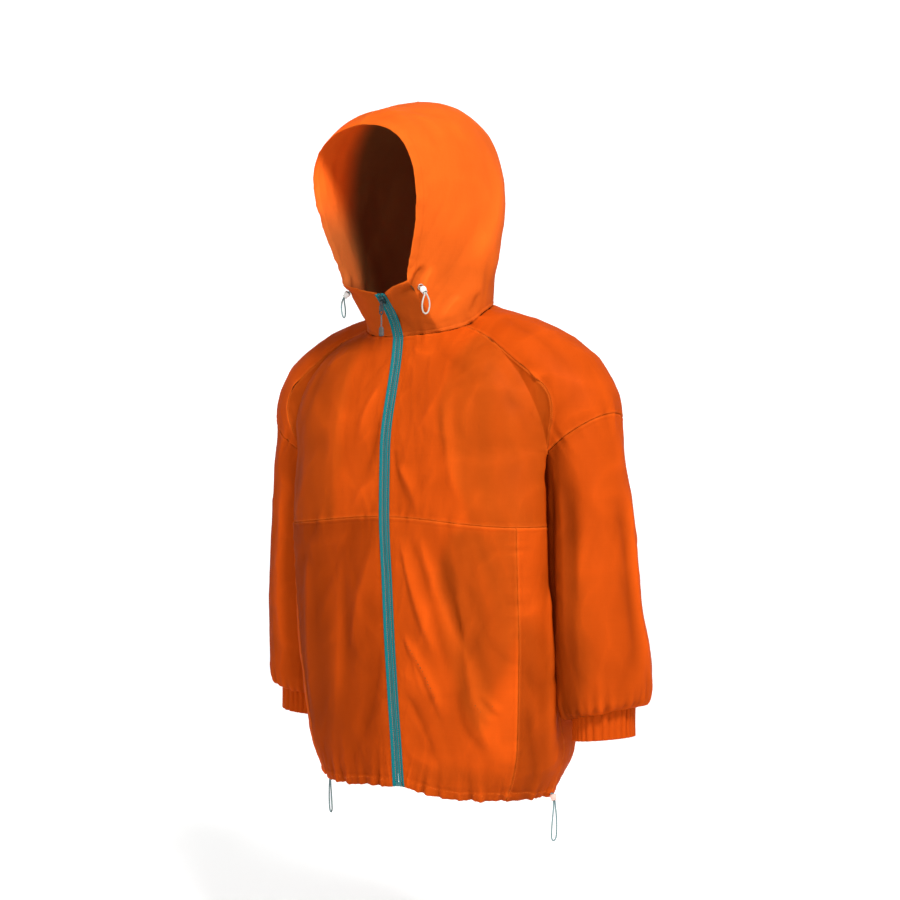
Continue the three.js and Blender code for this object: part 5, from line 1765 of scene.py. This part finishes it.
def zip_frames(levels):
    """Places along the zip's middle, with the way up it and out of it."""
    places = zip_point(levels, np.full(len(levels), 0.5))
    ways = unit(np.gradient(places, axis=0))
    outs = unit(np.cross(np.array([1.0, 0.0, 0.0]), ways))
    return places, ways, outs


class JACKET_OT_zip(bpy.types.Operator):
    """Zip tapes, coil and bottom stop"""
    bl_idname = "jacket.zip"
    bl_label = "Zip"
    bl_options = {"REGISTER", "UNDO"}

    def execute(self, context):
        trim = settings()[1]
        woven = webbing("zip_tape", trim.zip_colour, [min(1.0, c * 1.3) for c in trim.zip_colour])
        plastic = moulded("zip_coil", trim.coil_colour, 0.38)
        length = float(run_of(zip_frames(np.linspace(0, 1, 400))[0])[-1])
        for word, side in SIDES:
            self.tape(word, side, length, woven)
        self.coil(trim.coil_pitch / MM, length, plastic)
        self.stop(plastic)
        return {"FINISHED"}

    def tape(self, word, side, length, finish):
        """One tape: a rib beside the coil, a stitched line, and an edge that laps over the front."""
        cross = np.linspace(*ZIP["tape"], 15)
        levels = np.linspace(0, 1, int(length / 2.2))
        across, up = np.meshgrid(cross if side < 0 else 1 - cross[::-1], levels)
        _, _, outs = zip_frames(levels)
        inner = np.abs(across - 0.5) / 0.48
        rib = ZIP["rib"] * np.exp(-(((inner - 0.24) / 0.13) ** 2)) - 0.35 * np.exp(-((inner / 0.12) ** 2))
        stitch = 0.10 * np.exp(-(((inner - 0.55) / 0.05) ** 2)) * np.sin(up * length / 0.5)
        lap = 1.6 * smooth((inner - 0.7) / 0.33)
        form = zip_point(up, across) + outs[:, None, :] * (rib + stitch + lap - 0.1)[..., None]
        points, faces = weld([form])
        piece = shell(f"zip_tape_{word}_cloth", points, normals_of(points, faces), faces, ZIP["tape_wall"],
                      finish)
        enter(piece, "zip_tape", f"zip_tape_{word}")
        OUTER.append((points, faces))

    def coil(self, pitch, length, finish):
        """Turns of the coil, from one tape and the other in turn, and the cords that hold them."""
        levels = np.linspace(ZIP["foot"], ZIP["top"], int(length / pitch))
        places, ways, outs = zip_frames(levels)
        across = np.cross(ways, outs)
        hand = np.where(np.arange(len(levels)) % 2, 1.0, -1.0)[:, None]
        raised = places + outs * ZIP["coil_level"]
        forms = [beads(capsule(ZIP["tooth"], ZIP["tooth_radius"], bend=0.25),
                       raised + across * hand * 0.35, across, outs)]
        cord = capsule(pitch * 2.2, ZIP["cord_radius"], sides=5)
        forms += [beads(cord, (raised + across * aside)[::2], ways[::2], outs[::2])
                  for aside in (ZIP["cord"], -ZIP["cord"])]
        enter(add_mesh("zip_coil", *merged(forms), finish), "zip_coil", "zip_chain")

    def stop(self, finish):
        """The moulded box at the foot of the zip, with a rib across it."""
        places, ways, outs = zip_frames(np.linspace(0, 0.05, 60))
        outline = rounded(((BOX["x"], BOX["y"], 0), (-BOX["x"], BOX["y"], 90), (-BOX["x"], -BOX["y"], 180),
                           (BOX["x"], -BOX["y"], 270)), BOX["corner"])
        rib = loft([(x * 0.72, y * 0.3) for x, y in outline], bevelled(0.8, 0.25))
        points, faces = merged([loft(outline, bevelled(BOX["depth"], 0.7)), moved(rib, z=1.6)])
        seat = frame_at(places[6] + outs[6] * 0.9, outs[6], ways[6])
        enter(add_mesh("zip_box", seat(points), faces, finish), "zip_coil", "zip_stop")


def slider_seat():
    """Where the slider stands: its foot, the way out of the zip and the way up it."""
    top = zip_point(np.array([ZIP["top"]]), np.array([0.5]))[0]
    below = zip_point(np.array([lerp(ZIP["foot"], ZIP["top"], 1 - 1 / 34)]), np.array([0.5]))[0]
    up = unit(top - below)
    out = unit(np.cross(np.array([1.0, 0.0, 0.0]), up))
    return top - up * SLIDER["below"], out, up


class JACKET_OT_pull(bpy.types.Operator):
    """Zip slider, its tab, strap and moulded pull"""
    bl_idname = "jacket.pull"
    bl_label = "Slider and pull"
    bl_options = {"REGISTER", "UNDO"}

    def execute(self, context):
        foot, out, up = slider_seat()
        pin_height = SLIDER["lift"] + SLIDER["depth"] + SLIDER["stand_off"]
        self.hinge = foot + out * pin_height
        self.slider(frame_at(foot, out, up), pin_height, metal("slider_metal", (0.020, 0.045, 0.050), 0.45))
        self.tab(metal("tab_metal", (0.035, 0.038, 0.040), 0.45))
        self.strap(braid("pull_strap", (0.014, 0.015, 0.016), (0.05, 0.05, 0.052)))
        self.end(moulded("pull_rubber", (0.030, 0.026, 0.024), 0.6))
        return {"FINISHED"}

    def place(self, name, points, faces, finish, slot, node, body=PULL):
        """Adds a hard piece, shaded flat on its flat faces."""
        piece = enter(add_mesh(name, points, faces, finish), slot, node, body=body)
        shading = piece.modifiers.new("edges", "WEIGHTED_NORMAL")
        shading.keep_sharp = True

    def hung(self, points):
        """Local (across, up, toward the front) points below the hinge, in the jacket's frame."""
        return self.hinge + points[:, [0, 2, 1]] * [1.0, -1.0, 1.0]

    def slider(self, seat, pin_height, finish):
        """The slider's body with a raised panel, and two ears that hold the pull's pin."""
        half = np.array([SLIDER["width"], SLIDER["height"]]) / 2
        after = SLIDER_CORNERS[1:] + SLIDER_CORNERS[:1]
        outline = [place for corner, bend, end in zip(SLIDER_CORNERS, SLIDER_BENDS, after)
                   for place in quadratic(half * corner, half * bend, half * end)[:-1]]
        top = SLIDER["lift"] + SLIDER["depth"]
        body = moved(loft(outline, bevelled(SLIDER["depth"], 0.6, 4)), z=top - SLIDER["depth"] / 2)
        panel = moved(loft([(x * 0.7, y * 0.78) for x, y in outline], bevelled(0.5, 0.2)), z=top + 0.05)
        reach = TAB["length"] / 2 + SEAM_GAP + SLIDER["ear"] / 2
        height, side = SLIDER["stand_off"] + 1.8, SLIDER["ear_half"]
        arch = [(side * math.cos(turn), 0.49 * height * math.sin(turn))
                for turn in np.linspace(0, math.pi, 9)]
        ear = laid_across(loft([(side, -height / 2), *arch, (-side, -height / 2)],
                               bevelled(SLIDER["ear"], 0.22)))
        ears = [moved(ear, x=hand * reach, z=top + height / 2 - 0.4) for hand in (1, -1)]
        pin = turned([(0.02, -reach - 0.5), (SLIDER["pin"], -reach - 0.4), (SLIDER["pin"], reach + 0.4),
                      (0.02, reach + 0.5)], 16)
        points, faces = merged([body, panel, *ears, moved(laid_across(pin), z=pin_height)])
        self.place("slider_body", seat(points), faces, finish, "zip_metal", "zip_slider", JACKET)

    def tab(self, finish):
        """A flat tab with an oval slot, on a barrel that turns on the pin."""
        half, reach = TAB["width"] / 2, TAB["length"] / 2
        foot = half - TAB["tab"]
        start, shoulder = (reach, -TAB["eye"] - 0.5), -8
        right = ([start] + quadratic(start, (half, -5), (half, shoulder), 8)[1:]
                 + [(half, lerp(shoulder, foot, share)) for share in np.linspace(0.15, 1, 8)]
                 + [(half * math.cos(turn), foot - half * math.sin(turn))
                    for turn in np.linspace(0, math.pi / 2, 12)[1:]])
        outline = np.array(right + [(-x, y) for x, y in right[-2::-1]])[::-1]
        angle = np.arctan2(outline[:, 1] - foot, outline[:, 0])
        wide, tall = TAB["slot"]
        slot = np.stack([wide * np.cos(angle), foot + tall * np.sin(angle)], axis=-1)
        levels, count = bevelled(TAB["thick"], 0.35), len(outline)
        rings_of = lambda line: loft(line, levels)[0].reshape(len(levels), count, 3)
        rings = np.concatenate([rings_of(outline), rings_of(slot[::-1])[::-1, ::-1]])
        plate = rings.reshape(-1, 3), ring_faces(len(rings), count, closed=True)
        barrel = laid_across(turned(rounded_ring(TAB["eye"], TAB["barrel"], -reach, reach, 0.3), 20))
        points, faces = merged([plate, barrel])
        self.place("tab_body", self.hung(points), faces, finish, "zip_metal", "zip_tab")

    def strap(self, finish):
        """Two strands laid round each other through the tab's slot."""
        top, length = -TAB["tab"] - 0.05, STRAP["length"] - SEAM_GAP
        down = np.linspace(0, 1, 60)
        turn = 2 * math.pi * STRAP["turns"] * down
        angle = np.linspace(0, 2 * math.pi, 10, endpoint=False)
        strand = point(STRAP["strand"][0] * np.cos(angle), 0, STRAP["strand"][1] * np.sin(angle))
        faces = [face[::-1] for face in capped(len(down), len(angle))]
        parts = []
        for hand in (1, -1):
            aside, ahead = (hand * lay for lay in STRAP["lay"])
            path = point(aside * np.cos(turn), top - length * down, ahead * np.sin(turn))
            parts.append(((path[:, None, :] + strand).reshape(-1, 3), faces))
        points, every = merged(parts)
        self.place("strap_body", self.hung(points), every, finish, "pull_rubber", "pull_strap")

    def end(self, finish):
        """A rounded moulded pull with two grip ribs."""
        top = -TAB["tab"] - STRAP["length"] - SEAM_GAP
        angle = np.linspace(0, 2 * math.pi, 32, endpoint=False)
        squared = lambda values: np.sign(values) * np.abs(values) ** 0.6
        across, ahead = END["width"] / 2 * squared(np.cos(angle)), END["thick"] / 2 * squared(np.sin(angle))
        points = np.concatenate([point(across * wide, top - drop, ahead * thick)
                                 for drop, wide, thick in END_ROWS])
        faces = [face[::-1] for face in capped(len(END_ROWS), len(angle))]
        self.place("end_body", self.hung(points), faces, finish, "pull_rubber", "pull_end")


STITCH_REACH = 6.0      # a stitch further than this from the cloth is left out


class Row(NamedTuple):
    """One row of stitches beside a seam: how far from it, and on which hand."""
    seam: str
    offset: float


STITCH_ROWS = (
    Row("neck", 2.2), Row("chest", 2.2), Row("chest", -1.8), Row("pocket", 2.4), Row("armhole", 2.4),
    Row("shoulder", 2.0), Row("shoulder", -2.0), Row("yoke", 2.2), Row("side", 2.0), Row("zip", 3.0),
    Row("hem", 15.0), Row("brim", 14.5), Row("crown", 2.2), Row("crown", -2.2),
)


class JACKET_OT_stitching(bpy.types.Operator):
    """Topstitching along the seams"""
    bl_idname = "jacket.stitching"
    bl_label = "Stitching"
    bl_options = {"REGISTER", "UNDO"}

    def execute(self, context):
        trim = settings()[1]
        points = np.concatenate([sheet for sheet, _ in OUTER])
        starts = np.cumsum([0] + [len(sheet) for sheet, _ in OUTER])
        faces = np.concatenate([faces + start for (_, faces), start in zip(OUTER, starts)])
        tree = BVHTree.FromPolygons(points.tolist(), faces.tolist())
        finish = moulded("thread", trim.thread_colour, 0.6, IOR=1.1)
        for word, side in SIDES:
            stitches = [stitch for row in STITCH_ROWS if row.seam != "crown" or side > 0
                        for stitch in self.row(tree, SEAM_LINES[word][row.seam][0], row.offset * side,
                                               trim.stitch_pitch / MM)]
            places, ways, outs = (np.array(column) for column in zip(*stitches))
            form, every = beads(capsule(trim.stitch / MM, 0.24, sides=5, bend=0.18), places, ways, outs)
            enter(add_mesh(f"stitching_{word}", form, every, finish), "shell_cloth")
        return {"FINISHED"}

    def row(self, tree, path, offset, pitch):
        """Places, ways and outward directions of one row's stitches, on the cloth beside a seam."""
        run = run_of(path)
        at = np.arange(2.0, run[-1] - 2.0, pitch)
        line = np.stack([np.interp(at, run, path[:, i]) for i in range(3)], axis=-1)
        ways = unit(np.gradient(line, axis=0))
        for place, way in zip(line, ways):
            _, out, _, distance = tree.find_nearest(Vector(place))
            if out is None or distance > STITCH_REACH:
                continue
            aside = np.cross(np.array(out), way) * offset
            near, out, _, distance = tree.find_nearest(Vector(place + aside))
            if near is None or distance > STITCH_REACH:
                continue
            yield np.array(near) + np.array(out) * 0.05, way, np.array(out)


class JACKET_PT_panel(bpy.types.Panel):
    """Jacket"""
    bl_idname = "JACKET_PT_panel"
    bl_label = "Sun protection jacket"
    bl_space_type = "VIEW_3D"
    bl_region_type = "UI"
    bl_category = "Jacket"

    def draw(self, context):
        for group in settings():
            box = self.layout.box()
            for name in group.__annotations__:
                box.prop(group, name)
        for operator in OPERATORS:
            self.layout.operator(operator.bl_idname)


GROUPS = (("jacket_cloth", JACKET_PG_cloth), ("jacket_trim", JACKET_PG_trim),
          ("jacket_stage", JACKET_PG_stage))
OPERATORS = (JACKET_OT_stage, JACKET_OT_cords, JACKET_OT_body, JACKET_OT_hood, JACKET_OT_sleeves,
             JACKET_OT_pockets, JACKET_OT_zip, JACKET_OT_pull, JACKET_OT_stitching)


def register():
    for name, group in GROUPS:
        bpy.utils.register_class(group)
        setattr(bpy.types.Scene, name, PROPS.PointerProperty(type=group))
    for kind in (*OPERATORS, JACKET_PT_panel):
        bpy.utils.register_class(kind)


def unregister():
    for kind in reversed((*OPERATORS, JACKET_PT_panel)):
        bpy.utils.unregister_class(kind)
    for name, group in reversed(GROUPS):
        delattr(bpy.types.Scene, name)
        bpy.utils.unregister_class(group)


def main():
    register()
    bpy.ops.jacket.stage()
    bpy.ops.jacket.cords()
    bpy.ops.jacket.body()
    bpy.ops.jacket.hood()
    bpy.ops.jacket.sleeves()
    bpy.ops.jacket.pockets()
    bpy.ops.jacket.zip()
    bpy.ops.jacket.pull()
    bpy.ops.jacket.stitching()


if __name__ == "__main__":
    main()
